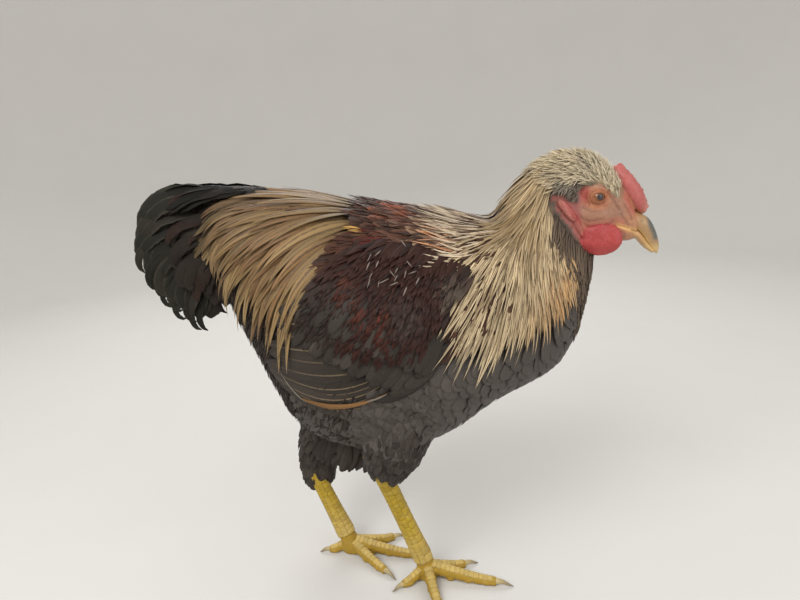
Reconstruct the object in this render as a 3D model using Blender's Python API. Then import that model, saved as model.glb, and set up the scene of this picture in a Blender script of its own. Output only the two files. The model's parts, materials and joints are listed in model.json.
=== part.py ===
"""Standing wyandotte cockerel at life size: separate named solids, in metres, +X to the beak, +Z up."""

import math
import random
from typing import NamedTuple

import bmesh
import bpy
import numpy as np
from mathutils import Vector
from mathutils.bvhtree import BVHTree

SEED = 1210

# Gap left between neighbouring solids.
SEAM = 0.0003
# Thickness of a feather vane, and of its tip.
VANE = 0.0007
VANE_TIP = 0.0005
# Depth that a feather root is sunk below the surface that carries it.
ROOT_DEPTH = 0.0022
# Lengthwise steps in a long and in a short feather, and the length that parts them.
VANE_STEPS = 4
SHORT_STEPS = 3
SHORT_VANE = 0.058

# Trunk mesh.
TRUNK_SIDES = 26
TRUNK_STEPS = 2
FINE_STEPS = 12
BODY_EXPONENT = 2.25


class Section(NamedTuple):
    """One slice of the body: its top and low points seen from the side, and half its width."""

    top_x: float
    top_z: float
    low_x: float
    low_z: float
    half_width: float


BODY = {
    "rump end": Section(-0.1110, 0.3160, -0.1000, 0.2520, 0.0250),
    "tail root": Section(-0.0950, 0.3235, -0.0930, 0.2280, 0.0390),
    "vent": Section(-0.0700, 0.3255, -0.0780, 0.1920, 0.0520),
    "saddle": Section(-0.0400, 0.3200, -0.0580, 0.1470, 0.0630),
    "saddle front": Section(-0.0080, 0.3135, -0.0300, 0.1270, 0.0710),
    "back": Section(0.0250, 0.3080, 0.0100, 0.1210, 0.0740),
    "shoulder": Section(0.0600, 0.3010, 0.0560, 0.1310, 0.0720),
    "cape": Section(0.0860, 0.2945, 0.0970, 0.1580, 0.0650),
    "breast": Section(0.0965, 0.2945, 0.1400, 0.1790, 0.0545),
    "neck base": Section(0.1015, 0.3000, 0.1580, 0.2040, 0.0435),
    "neck": Section(0.1085, 0.3105, 0.1650, 0.2330, 0.0330),
    "nape": Section(0.1230, 0.3265, 0.1700, 0.2580, 0.0245),
    "crown back": Section(0.1390, 0.3375, 0.1750, 0.2680, 0.0205),
    "crown": Section(0.1570, 0.3410, 0.1820, 0.2715, 0.0185),
    "brow": Section(0.1750, 0.3360, 0.1900, 0.2725, 0.0160),
    "forehead": Section(0.1880, 0.3220, 0.1970, 0.2730, 0.0125),
    "bill root": Section(0.2010, 0.2985, 0.2035, 0.2750, 0.0080),
}
PLACES = list(BODY)
# Height over the body within which another solid is looked for under a feather.
COVER_REACH = 0.030
# Slice behind the rump, inside which the tail feathers start.
TAIL_SLICE = Section(-0.1330, 0.3250, -0.1180, 0.2420, 0.0255)


class Tier(NamedTuple):
    """One row of body feathers: where it is rooted along the body, over which angles, and its size."""

    place: float
    first: float
    last: float
    count: int
    length: float
    half_width: float


# Hackle, from the upper row to the lowest.
HACKLE_POLE = (0.1470, 0.3480)
HACKLE_SLOPE = 0.106
HACKLE_TIERS = (
    Tier(10.70, 10, 118, 6, 0.055, 0.0060),
    Tier(9.90, 24, 120, 5, 0.062, 0.0070),
    Tier(9.15, 42, 122, 6, 0.064, 0.0068),
    Tier(8.40, 58, 112, 5, 0.054, 0.0072),
)

# Saddle, from the front row to the rear row.
SADDLE_FALL_TOP = 10.0
SADDLE_FALL_SIDE = 62.0
SADDLE_FALL_FROM = 0.3280
SADDLE_FALL_DEPTH = 0.0800
SADDLE_SLOPE = 0.092
SADDLE_TIERS = (
    Tier(0.75, 10, 80, 4, 0.036, 0.0064),
    Tier(1.60, 10, 84, 5, 0.054, 0.0068),
    Tier(2.45, 8, 74, 5, 0.068, 0.0068),
    Tier(3.20, 8, 62, 5, 0.078, 0.0068),
    Tier(3.80, 8, 54, 4, 0.086, 0.0064),
)


class WingTier(NamedTuple):
    """One row of wing feathers, from its lowest feather to its highest; x and z pairs in the side view."""

    count: int
    root: tuple
    root_end: tuple
    tip: tuple
    tip_end: tuple
    sag: float
    sag_end: float
    half_width: float
    base: float
    tilt: float


# Folded wing: x, upper edge and lower edge, from the front to the tip.
WING_OUTLINE = (
    (0.0540, 0.2620, 0.2360),
    (0.0420, 0.2810, 0.2120),
    (0.0200, 0.2890, 0.1960),
    (-0.0050, 0.2860, 0.1880),
    (-0.0280, 0.2700, 0.1890),
    (-0.0460, 0.2480, 0.1960),
    (-0.0560, 0.2300, 0.2060),
)
WING_ALONG = 9
WING_ACROSS = 6
WING_OFF = 0.0011
WING_THICK = 0.0050
WING_EDGE = 0.0010
WING_SLOPE = 0.006
WING_ROOT_DEPTH = 0.0010
WING_TIERS = (
    WingTier(
        count=8,
        root=(0.018, 0.206),
        root_end=(0.000, 0.250),
        tip=(-0.064, 0.203),
        tip_end=(-0.052, 0.244),
        sag=0.017,
        sag_end=0.001,
        half_width=0.0053,
        base=0.0021,
        tilt=0.0018,
    ),
    WingTier(
        count=5,
        root=(0.040, 0.222),
        root_end=(0.026, 0.264),
        tip=(0.000, 0.200),
        tip_end=(-0.020, 0.250),
        sag=0.003,
        sag_end=0.000,
        half_width=0.0072,
        base=0.0056,
        tilt=0.0018,
    ),
)


class TailFeather(NamedTuple):
    """A tail feather of one side: root, start angle above the rear level, bend, reach and width."""

    root_x: float
    root_y: float
    root_z: float
    rise: float
    bend: float
    spread: float
    roof: float
    length: float
    half_width: float


TAIL_STUB_LENGTH = 0.026
TAIL_FEATHERS = (
    TailFeather(-0.1130, 0.0098, 0.3080, 30, 98, 0.02, 50, 0.060, 0.0110),
    TailFeather(-0.1120, 0.0110, 0.3010, 12, 66, 0.08, 34, 0.062, 0.0112),
    TailFeather(-0.1110, 0.0125, 0.2940, -8, 52, 0.12, 26, 0.060, 0.0112),
    TailFeather(-0.1100, 0.0140, 0.2870, -28, 40, 0.14, 22, 0.058, 0.0105),
    TailFeather(-0.1085, 0.0150, 0.2800, -46, 28, 0.14, 20, 0.050, 0.0100),
    TailFeather(-0.1100, 0.0155, 0.2730, -60, 18, 0.12, 18, 0.042, 0.0095),
    TailFeather(-0.1105, 0.0150, 0.2660, -74, 8, 0.10, 16, 0.032, 0.0085),
)

# Eyes, with the direction that they face, and the ring of the lids.
EYE_CENTRE = (0.1722, 0.0128, 0.3082)
EYE_RADIUS = 0.0056
EYE_AHEAD = 0.22
EYE_UP = 0.05
LID_RADIUS = 0.0056
LID_THICK = 0.0011
LID_OUT = 0.0034

# Mouth line from the gape to the bill, as x and z, and the nostrils.
GAPE = (0.1850, 0.2880)
MOUTH_FRONT = (0.2060, 0.2800)
MOUTH_HALF_HEIGHT = 0.0006
MOUTH_REACH = 0.03
NOSTRIL_CENTRE = (0.2085, 0.0072, 0.2868)
NOSTRIL_SIZE = (0.0016, 0.0010, 0.0008)
NOSTRIL_TURN = 45

# Comb, from its heel on the forehead to its toe above the bill.
COMB_HEEL = (0.1865, 0.3290)
COMB_TOE = (0.2065, 0.2955)
COMB_HALF_WIDTH = 0.0105
COMB_HEIGHT = 0.0080
COMB_BUMP_ROWS = 4
COMB_BUMP = 0.0024

# Ear lobes and wattles: centre and half sizes.
LOBE_CENTRE = (0.1505, 0.0205, 0.3005)
LOBE_SIZE = (0.0105, 0.0052, 0.0058)
LOBE_TURN = 52
WATTLE_CENTRE = (0.1755, 0.0140, 0.2785)
WATTLE_SIZE = (0.0158, 0.0042, 0.0122)
WATTLE_FOLD = 0.0006

# Legs: ankle just above the ground, and hock, of each side.
ANKLES = {"right": (0.0331, -0.0180, 0.0200), "left": (-0.0365, 0.0185, 0.0200)}
HOCKS = {"right": (0.0010, -0.0335, 0.1260), "left": (-0.0740, 0.0360, 0.1050)}
FEET = {"right": (0.0350, -0.0178, 0.0), "left": (-0.0335, 0.0180, 0.0)}
SHANK_RADIUS = 0.0062
SHANK_SCUTES = 13
SCUTE_RISE = 0.0006
SHANK_SIDES = 8
SCUTE_LENGTH = 0.0068
# Radius of the flat under the ball of the foot.
BALL_FLAT = 0.0062


class Toe(NamedTuple):
    """A toe: its direction in the ground plane from straight ahead, length, radius and claw length."""

    name: str
    turn: float
    length: float
    radius: float
    claw: float


TOES = {
    "right": (
        Toe("inner", 18, 0.034, 0.0044, 0.012),
        Toe("middle", -12.5, 0.058, 0.0048, 0.014),
        Toe("outer", -76, 0.042, 0.0044, 0.012),
        Toe("back", -146, 0.024, 0.0040, 0.010),
    ),
    "left": (
        Toe("inner", -44, 0.046, 0.0044, 0.013),
        Toe("middle", -12, 0.058, 0.0048, 0.014),
        Toe("outer", 20, 0.040, 0.0044, 0.012),
        Toe("back", 184, 0.020, 0.0040, 0.009),
    ),
}


class Thigh(NamedTuple):
    """A feathered thigh: path from inside the trunk to its lower end, and radii along it."""

    path: tuple
    radii: tuple


THIGHS = {
    "right": Thigh(
        ((0.0330, -0.0380, 0.1750), (0.0240, -0.0400, 0.1500), (0.0160, -0.0400, 0.1270), (0.0110, -0.0380, 0.1080)),
        (0.0240, 0.0250, 0.0215, 0.0110),
    ),
    "left": Thigh(
        ((-0.0200, 0.0380, 0.1700), (-0.0420, 0.0410, 0.1300), (-0.0575, 0.0400, 0.0900), (-0.0600, 0.0350, 0.0630)),
        (0.0250, 0.0245, 0.0195, 0.0100),
    ),
}


def curve_through(rows, per_gap):
    """Points of a smooth curve through the rows, with per_gap steps between two rows."""
    rows = np.asarray(rows, float)
    last = len(rows) - 1
    out = []
    for k in range(last * per_gap + 1):
        t = k / per_gap
        i = min(int(t), last - 1)
        u = t - i
        a = rows[max(i - 1, 0)]
        b = rows[i]
        c = rows[i + 1]
        d = rows[min(i + 2, last)]
        bend = 2 * b + (c - a) * u + (2 * a - 5 * b + 4 * c - d) * u * u
        out.append(0.5 * (bend + (3 * b - a - 3 * c + d) * u**3))
    return np.array(out)


def signed_power(value, exponent):
    return math.copysign(abs(value) ** exponent, value)


def unit(vector):
    vector = np.asarray(vector, float)
    return vector / max(np.linalg.norm(vector), 1e-12)


def body_spot(row, angle, grow=0.0, shift=0.0):
    """A point of one body slice; angle runs from the top over the right side."""
    top = np.array([row[0], row[1]])
    low = np.array([row[2], row[3]])
    along = unit(top - low)
    ahead = np.array([along[1], -along[0]])
    half = 0.5 * np.linalg.norm(top - low) + grow
    side = signed_power(math.sin(angle), 2 / BODY_EXPONENT) * (row[4] + grow)
    rise = signed_power(math.cos(angle), 2 / BODY_EXPONENT) * half
    spot = 0.5 * (top + low) + ahead * shift + along * rise
    return np.array((spot[0], -side, spot[1]))


def body_rings(first, last, grow=0.0, sides=TRUNK_SIDES, steps=TRUNK_STEPS, seams=(0, 0)):
    """Rings of the body between two named places; seams moves an end ring inward by half a gap."""
    rows = curve_through(list(BODY.values()), steps)
    low = PLACES.index(first) * steps
    high = PLACES.index(last) * steps
    rings = []
    for k in range(low, high + 1):
        shift = 0.5 * SEAM * (seams[0] * (k == low) - seams[1] * (k == high))
        rings.append([body_spot(rows[k], 2 * math.pi * s / sides, grow, shift) for s in range(sides)])
    return rings


def body_point(place, degrees):
    """A point of the body surface; place counts sections from the rump end."""
    steps = len(FINE_ROWS) - 1
    spot = min(max(place * FINE_STEPS, 0.0), steps)
    low = min(int(spot), steps - 1)
    row = FINE_ROWS[low] + (FINE_ROWS[low + 1] - FINE_ROWS[low]) * (spot - low)
    return body_spot(row, math.radians(degrees))


FINE_ROWS = curve_through(list(BODY.values()), FINE_STEPS)


def outward(points, faces):
    """The mesh with its faces turned out."""
    points = np.asarray(points, float)
    volume = 0.0
    for face in faces:
        a = points[face[0]]
        for k in range(1, len(face) - 1):
            volume += np.dot(a, np.cross(points[face[k]], points[face[k + 1]]))
    if volume < 0:
        faces = [tuple(reversed(face)) for face in faces]
    return points, [tuple(face) for face in faces]


def tube(rings):
    """Closed mesh through the rings, flat at both ends, faces out."""
    sides = len(rings[0])
    points = [p for ring in rings for p in ring]
    faces = []
    for r in range(len(rings) - 1):
        for k in range(sides):
            n = (k + 1) % sides
            faces.append((r * sides + k, r * sides + n, (r + 1) * sides + n, (r + 1) * sides + k))
    faces.append(tuple(reversed(range(sides))))
    faces.append(tuple((len(rings) - 1) * sides + k for k in range(sides)))
    return outward(points, faces)


def limb(path, radii, sides=12, shape=None, floor=None):
    """Closed round mesh along a path. shape(step, angle) scales the radius; floor flattens below it."""
    path = np.asarray(path, float)
    rings = []
    for k, spot in enumerate(path):
        ahead = unit(path[min(k + 1, len(path) - 1)] - path[max(k - 1, 0)])
        guide = (0.0, 0.0, 1.0) if abs(ahead[2]) < 0.8 else (1.0, 0.0, 0.0)
        across = unit(np.cross(guide, ahead))
        over = np.cross(ahead, across)
        ring = []
        for s in range(sides):
            angle = 2 * math.pi * (s + (0.0 if floor is None else 0.5)) / sides
            reach = radii[k] * (shape(k, angle) if shape else 1.0)
            place = spot + across * math.cos(angle) * reach + over * math.sin(angle) * reach
            if floor is not None:
                place[2] = max(place[2], floor)
            ring.append(place)
        rings.append(ring)
    return tube(rings)


def ellipsoid(centre, size, sides=16, rings=9, turn=0.0):
    """Closed ball of three half sizes, turned about the sideways axis by degrees."""
    points = [(0, 0, 1.0)]
    for r in range(1, rings):
        polar = math.pi * r / rings
        for s in range(sides):
            angle = 2 * math.pi * s / sides
            points.append((math.sin(polar) * math.cos(angle), math.sin(polar) * math.sin(angle), math.cos(polar)))
    points.append((0, 0, -1.0))
    faces = []
    for s in range(sides):
        n = (s + 1) % sides
        faces.append((0, 1 + s, 1 + n))
        for r in range(rings - 2):
            low = 1 + r * sides
            faces.append((low + s, low + sides + s, low + sides + n, low + n))
        faces.append((len(points) - 1, 1 + (rings - 2) * sides + n, 1 + (rings - 2) * sides + s))
    points = np.array(points) * np.asarray(size, float)
    return outward(turned(points, turn) + np.asarray(centre, float), faces)


def turned(points, degrees):
    """The points turned about the sideways axis, so that +X tips down by degrees."""
    cos = math.cos(math.radians(degrees))
    sin = math.sin(math.radians(degrees))
    return np.column_stack(
        (points[:, 0] * cos + points[:, 2] * sin, points[:, 1], -points[:, 0] * sin + points[:, 2] * cos)
    )


class Cover:
    """A surface that feathers lie on."""

    def __init__(self, *meshes):
        points = []
        faces = []
        for mesh_points, mesh_faces in meshes:
            base = len(points)
            points.extend(Vector(p) for p in mesh_points)
            faces.extend([base + i for i in face] for face in mesh_faces)
        self.tree = BVHTree.FromPolygons(points, faces)

    def stick(self, spot):
        """The nearest place on the surface, and its outward normal."""
        place, normal, _, _ = self.tree.find_nearest(Vector(spot))
        return np.array(place), np.array(normal)

    def from_side(self, x, z, side):
        """The outer place at this x and z and its normal; side is -1 for the right."""
        start = Vector((x, side * 0.3, z))
        place, _, _, _ = self.tree.ray_cast(start, Vector((0, -side, 0)))
        if place is None:
            return self.stick((x, side * 0.03, z))
        return self.stick(place)

    def trace(self, start, flow, length, steps, over=None):
        """Places and normals along a path that follows flow over the surface, or over what covers it."""
        place, normal = self.stick(start)
        places = [place]
        normals = [normal]
        for _ in range(steps):
            way = np.asarray(flow(place), float)
            way = unit(way - normal * np.dot(way, normal))
            place, normal = self.stick(place + way * length / steps)
            normal = unit(normal + normals[-1])
            normals.append(normal)
            places.append(over.outermost(place, normal) if over else place)
        return np.array(places), np.array(normals)

    def outermost(self, place, normal):
        """The outer surface above a place."""
        hit, _, _, _ = self.tree.ray_cast(Vector(place + normal * COVER_REACH), Vector(-normal), 2 * COVER_REACH)
        return place if hit is None else np.array(hit)


def vane(places, normals, half_widths, lifts, tilt=0.0, thick=VANE):
    """Closed thin feather along the places, lifted off them by lifts; tilt raises one edge over the other."""
    places = np.asarray(places, float)
    count = len(places)
    points = []
    for k in range(count):
        ahead = unit(places[min(k + 1, count - 1)] - places[max(k - 1, 0)])
        across = unit(np.cross(normals[k], ahead))
        spot = places[k] + normals[k] * lifts[k]
        lean = tilt * 0.5 * min(k, 1)
        deep = thick if k < count - 1 else VANE_TIP
        left = spot + across * half_widths[k] + normals[k] * lean
        right = spot - across * half_widths[k] - normals[k] * lean
        points += [left, right, right - normals[k] * deep, left - normals[k] * deep]
    faces = []
    for k in range(count - 1):
        a = 4 * k
        b = 4 * (k + 1)
        faces.append((a, a + 1, b + 1))
        faces.append((a, b + 1, b))
        faces.append((a + 3, b + 2, a + 2))
        faces.append((a + 3, b + 3, b + 2))
        faces.append((a + 1, a + 2, b + 2, b + 1))
        faces.append((a, b, b + 3, a + 3))
    end = 4 * (count - 1)
    faces.append((0, 3, 2, 1))
    faces.append((end, end + 1, end + 2, end + 3))
    return outward(points, faces)


def feather_widths(count, half_width, pointed):
    """Half widths from root to tip, drawn out to a point or rounded off."""
    out = []
    for k in range(count):
        s = k / (count - 1)
        grown = min(1.0, 0.38 + 2.2 * s)
        if pointed:
            shape = grown * (1.0 - 0.88 * max(0.0, s - 0.45) / 0.55)
        else:
            shape = grown * (1.0 - 0.50 * (max(0.0, s - 0.7) / 0.3) ** 1.5)
        out.append(half_width * shape)
    return out


def rising(length, slope, steps, base=0.0009):
    """Lifts of a feather that starts below the surface and leaves it slowly."""
    return [-ROOT_DEPTH] + [base + slope * length * k / steps for k in range(1, steps + 1)]


def hackle_flow(spot):
    return (spot[0] - HACKLE_POLE[0], 0.10 * spot[1], spot[2] - HACKLE_POLE[1])


def saddle_flow(spot):
    """Backward on the back, and steeper down on the sides."""
    fall = min(max((SADDLE_FALL_FROM - spot[2]) / SADDLE_FALL_DEPTH, 0.0), 1.0)
    angle = math.radians(SADDLE_FALL_TOP + (SADDLE_FALL_SIDE - SADDLE_FALL_TOP) * fall)
    return (-math.cos(angle), 3.0 * spot[1], -math.sin(angle))


def feather_rows(tiers, cover, flow, slope, chance, over=None):
    """Pointed feathers in staggered rows on both sides of the body."""
    out = []
    for row, tier in enumerate(tiers):
        step = (tier.last - tier.first) / (tier.count - 0.5)
        for side in (-1, 1):
            for k in range(tier.count):
                angle = tier.first + step * (k + 0.5 * (row % 2))
                start = body_point(tier.place, -side * angle)
                length = tier.length * (1 + chance.uniform(-0.05, 0.05))
                steps = SHORT_STEPS if tier.length < SHORT_VANE else VANE_STEPS
                places, normals = cover.trace(start, flow, length, steps, over)
                widths = feather_widths(steps + 1, tier.half_width, True)
                out.append(vane(places, normals, widths, rising(length, slope, steps)))
    return out


def wing_row(u):
    """x, upper edge and lower edge of the folded wing at u from front to tip."""
    spot = u * (len(WING_ROWS) - 1)
    low = min(int(spot), len(WING_ROWS) - 2)
    return WING_ROWS[low] + (WING_ROWS[low + 1] - WING_ROWS[low]) * (spot - low)


WING_ROWS = curve_through(WING_OUTLINE, 10)


def wing_thickness(u, v):
    """Thickness of the wing at u from front to tip and v from the upper to the lower edge."""
    full = WING_THICK * (1 - 0.5 * u)
    swell = math.sqrt(max(math.sin(math.pi * v), 0.0)) * math.sqrt(min(1.0, u * 6))
    return WING_EDGE + (full - WING_EDGE) * swell


def on_wing(body, x, z, side):
    """A place on the outside of the wing and its normal."""
    u = float(np.interp(-x, -WING_ROWS[:, 0], np.linspace(0, 1, len(WING_ROWS))))
    _, top, low = wing_row(u)
    v = min(max((z - top) / (low - top), 0.08), 0.92)
    place, normal = body.from_side(x, z, side)
    return place + normal * (WING_OFF + wing_thickness(max(u, 0.05), v)), normal


def wing_plate(body, side):
    """The closed wing, lying a seam off the body, thick at the bow and thin at its edges."""
    inner = []
    outer = []
    for i in range(WING_ALONG + 1):
        u = i / WING_ALONG
        x, top, low = wing_row(u)
        for j in range(WING_ACROSS + 1):
            v = j / WING_ACROSS
            place, normal = body.from_side(x, top + (low - top) * v, side)
            inner.append(place + normal * WING_OFF)
            outer.append(place + normal * (WING_OFF + wing_thickness(u, v)))
    base = len(inner)
    wide = WING_ACROSS + 1
    faces = []
    for i in range(WING_ALONG):
        for j in range(WING_ACROSS):
            a = i * wide + j
            faces.append((a, a + 1, a + wide + 1, a + wide))
            faces.append((base + a, base + a + wide, base + a + wide + 1, base + a + 1))
    rim = [i * wide for i in range(WING_ALONG + 1)]
    rim += [WING_ALONG * wide + j for j in range(1, wide)]
    rim += [i * wide + WING_ACROSS for i in range(WING_ALONG - 1, -1, -1)]
    rim += list(range(WING_ACROSS - 1, 0, -1))
    for k, a in enumerate(rim):
        b = rim[(k + 1) % len(rim)]
        faces.append((a, b, base + b, base + a))
    return outward(inner + outer, faces)


def wing_feathers(body, side):
    """Flight feathers and coverts, each row under the next."""
    out = []
    for tier in WING_TIERS:
        for k in range(tier.count):
            s = k / (tier.count - 1)
            root = np.array(tier.root) + (np.array(tier.root_end) - np.array(tier.root)) * s
            tip = np.array(tier.tip) + (np.array(tier.tip_end) - np.array(tier.tip)) * s
            sag = tier.sag + (tier.sag_end - tier.sag) * s
            places = []
            normals = []
            for m in range(VANE_STEPS + 1):
                t = m / VANE_STEPS
                x, z = root + (tip - root) * t
                place, normal = on_wing(body, x, z - sag * 4 * t * (1 - t), side)
                places.append(place)
                normals.append(normal)
            length = float(np.linalg.norm(places[-1] - places[0]))
            lifts = rising(length, WING_SLOPE, VANE_STEPS, tier.base)
            lifts[0] = -WING_ROOT_DEPTH
            widths = feather_widths(VANE_STEPS + 1, tier.half_width, False)
            out.append(vane(places, normals, widths, lifts, tilt=-side * tier.tilt))
    return out


def tail_stub():
    """The fleshy tail root, which carries the tail feathers."""
    base = FINE_ROWS[0]
    rings = []
    for k in range(4):
        t = k / 3
        scale = 0.86 - 0.50 * t
        middle_x = 0.5 * (base[0] + base[2])
        middle_z = 0.5 * (base[1] + base[3])
        row = (
            middle_x + (base[0] - middle_x) * scale - 0.004 * t,
            middle_z + (base[1] - middle_z) * scale + 0.004 * t,
            middle_x + (base[2] - middle_x) * scale - 0.004 * t,
            middle_z + (base[3] - middle_z) * scale + 0.004 * t,
            base[4] * scale,
        )
        shift = -0.5 * SEAM - TAIL_STUB_LENGTH * t
        rings.append([body_spot(row, 2 * math.pi * s / 16, 0.0, shift) for s in range(16)])
    return tube(rings)


def tail_feathers():
    """Curved feathers that fan out from the tail root and droop at their ends."""
    out = []
    for feather in TAIL_FEATHERS:
        for side in (-1, 1):
            spot = np.array((feather.root_x, side * feather.root_y, feather.root_z))
            places = [spot]
            normals = []
            steps = VANE_STEPS + 1
            roof = math.radians(feather.roof)
            for k in range(steps + 1):
                t = k / steps
                angle = math.radians(feather.rise - feather.bend * t**1.4)
                normals.append(np.array((0.0, side * math.cos(roof), math.sin(roof))))
                way = unit((-math.cos(angle), side * feather.spread, math.sin(angle)))
                if k < steps:
                    places.append(places[-1] + way * feather.length / steps)
            widths = feather_widths(steps + 1, feather.half_width, False)
            widths[0] = feather.half_width * 0.35
            out.append(vane(places, normals, widths, [0.0] * (steps + 1), thick=0.0010))
    return out


def thigh(side):
    shape = THIGHS[side]
    path = curve_through(shape.path, 3)
    radii = curve_through([(r, 0.0) for r in shape.radii], 3)[:, 0]
    end = unit(path[-1] - path[-2])
    path = np.vstack((path, path[-1] + end * radii[-1] * 0.45))
    radii = np.append(radii, radii[-1] * 0.55)
    return limb(path, radii, 16)


def shank(side, first=0.0, grow=0.0):
    """A scuted shank from hock to ankle."""
    hock = np.array(HOCKS[side])
    ankle = np.array(ANKLES[side])
    path = []
    radii = []
    for k in range(SHANK_SCUTES):
        for edge in (0.08, 0.92):
            t = first + (1 - first) * (k + edge) / SHANK_SCUTES
            path.append(hock + (ankle - hock) * t)
            waist = 1.0 + 0.22 * (2 * t - 1) ** 2
            radii.append((SHANK_RADIUS + grow) * waist * 0.95)
    path[0] = hock + (ankle - hock) * first
    path[-1] = ankle

    def shape(step, angle):
        front = max(0.0, math.sin(angle))
        return 1.0 + SCUTE_RISE / SHANK_RADIUS * (step % 2) * front + 0.10 * abs(math.sin(angle))

    return limb(path, radii, SHANK_SIDES, shape)


def toe_path(side, toe, count):
    """Points along the middle of a toe, from inside the foot to its end."""
    foot = np.array(FEET[side])
    turn = math.radians(toe.turn)
    ahead = np.array((math.cos(turn), math.sin(turn), 0.0))
    path = []
    radii = []
    for k in range(count):
        t = k / (count - 1)
        radius = toe.radius * (1.16 - 0.44 * t)
        arch = 0.0030 * math.sin(math.pi * min(t * 1.3, 1.0))
        start = 0.0065 * (1 - t) ** 3
        path.append(foot + ahead * toe.length * t + np.array((0.0, 0.0, radius * 0.80 + arch * 0.35 + start)))
        radii.append(radius)
    return path, radii, ahead


def toe_mesh(side, toe):
    """A toe with scutes above and pads below, flat on the ground."""
    scutes = max(4, int(toe.length / SCUTE_LENGTH))
    path, radii, _ = toe_path(side, toe, scutes * 2)

    def shape(step, angle):
        above = max(0.0, math.sin(angle))
        return 1.0 + SCUTE_RISE / toe.radius * (step % 2) * above

    return limb(path, radii, 8, shape, floor=0.0)


def claw(side, toe):
    """A curved claw that starts a seam past the end of its toe."""
    path, radii, ahead = toe_path(side, toe, 12)
    start = np.array(path[-1])
    spots = []
    sizes = []
    for k in range(4):
        t = k / 3
        drop = -0.0022 * t * t
        spots.append(start + ahead * (1.5 * SEAM + toe.claw * t) + np.array((0.0, 0.0, 0.0006 * t + drop)))
        sizes.append(radii[-1] * 0.70 * (1 - t) ** 0.8 + 0.00035)
    return limb(spots, sizes, 6, floor=0.0)


def foot_stub(side):
    """The lower end of the shank, down into the ball of the foot."""
    ankle = np.array(ANKLES[side])
    hock = np.array(HOCKS[side])
    down = unit(ankle - hock)
    foot = np.array(FEET[side])
    path = [ankle + down * SEAM, ankle + down * 0.006]
    path += [foot + np.array((0, 0, height)) for height in (0.0085, 0.0036, 0.0)]
    return limb(path, (0.0070, 0.0072, 0.0080, 0.0078, BALL_FLAT), 12, floor=0.0)


def torus(centre, normal, radius, thick, sides=14, round_sides=5):
    """Closed ring about a normal."""
    normal = unit(normal)
    across = unit(np.cross(normal, (0.0, 0.0, 1.0)))
    over = np.cross(normal, across)
    points = []
    for k in range(sides):
        angle = 2 * math.pi * k / sides
        out = across * math.cos(angle) + over * math.sin(angle)
        for s in range(round_sides):
            turn = 2 * math.pi * s / round_sides
            points.append(np.asarray(centre) + out * (radius + thick * math.cos(turn)) + normal * thick * math.sin(turn))
    faces = []
    for k in range(sides):
        n = (k + 1) % sides
        for s in range(round_sides):
            m = (s + 1) % round_sides
            faces.append(
                (k * round_sides + s, k * round_sides + m, n * round_sides + m, n * round_sides + s)
            )
    return outward(points, faces)


def comb_parts(chance):
    """The low rose comb: a mound along the forehead, its points, and the spike at its heel."""
    heel = np.array((COMB_HEEL[0], 0.0, COMB_HEEL[1]))
    toe = np.array((COMB_TOE[0], 0.0, COMB_TOE[1]))
    along = toe - heel
    tip_down = math.degrees(math.atan2(-along[2], along[0]))
    length = np.linalg.norm(along)
    middle = 0.5 * (heel + toe)
    mound = ellipsoid(middle, (length * 0.58, COMB_HALF_WIDTH, COMB_HEIGHT), 16, 7, tip_down)
    bumps = []
    over = np.array((-along[2], 0.0, along[0])) / length
    for row in range(COMB_BUMP_ROWS):
        s = (row + 0.7) / (COMB_BUMP_ROWS + 0.4) * 2 - 1
        wide = math.sqrt(max(0.0, 1 - (s * 0.85) ** 2))
        count = 3 if row % 2 else 4
        for k in range(count):
            across = (k - 0.5 * (count - 1)) / 2.0 * 0.80 * wide
            rise = math.sqrt(max(0.05, 1 - across * across - (s * 0.85) ** 2 * 0.9))
            spot = middle + along * 0.5 * s * 1.05
            spot = spot + np.array((0.0, across * COMB_HALF_WIDTH, 0.0)) + over * COMB_HEIGHT * (rise * 0.92)
            size = COMB_BUMP * chance.uniform(0.9, 1.15)
            spot = spot + np.array((chance.uniform(-1, 1), chance.uniform(-1, 1), 0.0)) * 0.0003
            bumps.append(ellipsoid(spot, (size, size, size), 6, 4, tip_down + chance.uniform(5, 25)))
    spike = limb(
        [heel + along * 0.16, heel - along * 0.04 + over * 0.0030, heel - along * 0.10 + over * 0.0055],
        (0.0052, 0.0034, 0.0012),
        8,
    )
    return mound, bumps + [spike]


class BillSection(NamedTuple):
    """One slice of a bill half: top and low points in the side view, and half its width."""

    top_x: float
    top_z: float
    low_x: float
    low_z: float
    half_width: float


UPPER_BILL = (
    BillSection(0.2030, 0.2945, 0.2036, 0.2815, 0.0078),
    BillSection(0.2125, 0.2890, 0.2075, 0.2776, 0.0066),
    BillSection(0.2180, 0.2800, 0.2128, 0.2722, 0.0047),
    BillSection(0.2205, 0.2700, 0.2176, 0.2672, 0.0024),
    BillSection(0.2206, 0.2640, 0.2200, 0.2636, 0.0007),
)
LOWER_BILL = (
    BillSection(0.2037, 0.2806, 0.2038, 0.2750, 0.0066),
    BillSection(0.2072, 0.2770, 0.2068, 0.2716, 0.0054),
    BillSection(0.2122, 0.2718, 0.2118, 0.2682, 0.0038),
    BillSection(0.2166, 0.2674, 0.2164, 0.2656, 0.0014),
)


def bill_half(sections, grow=0.0, sides=12):
    """One half of the bill, which starts a seam in front of the head."""
    rows = curve_through(sections, 2)
    rings = []
    for k, row in enumerate(rows):
        shift = SEAM - grow if k == 0 else 0.0
        rings.append([body_spot(row, 2 * math.pi * s / sides, grow, shift) for s in range(sides)])
    return tube(rings)


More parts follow.
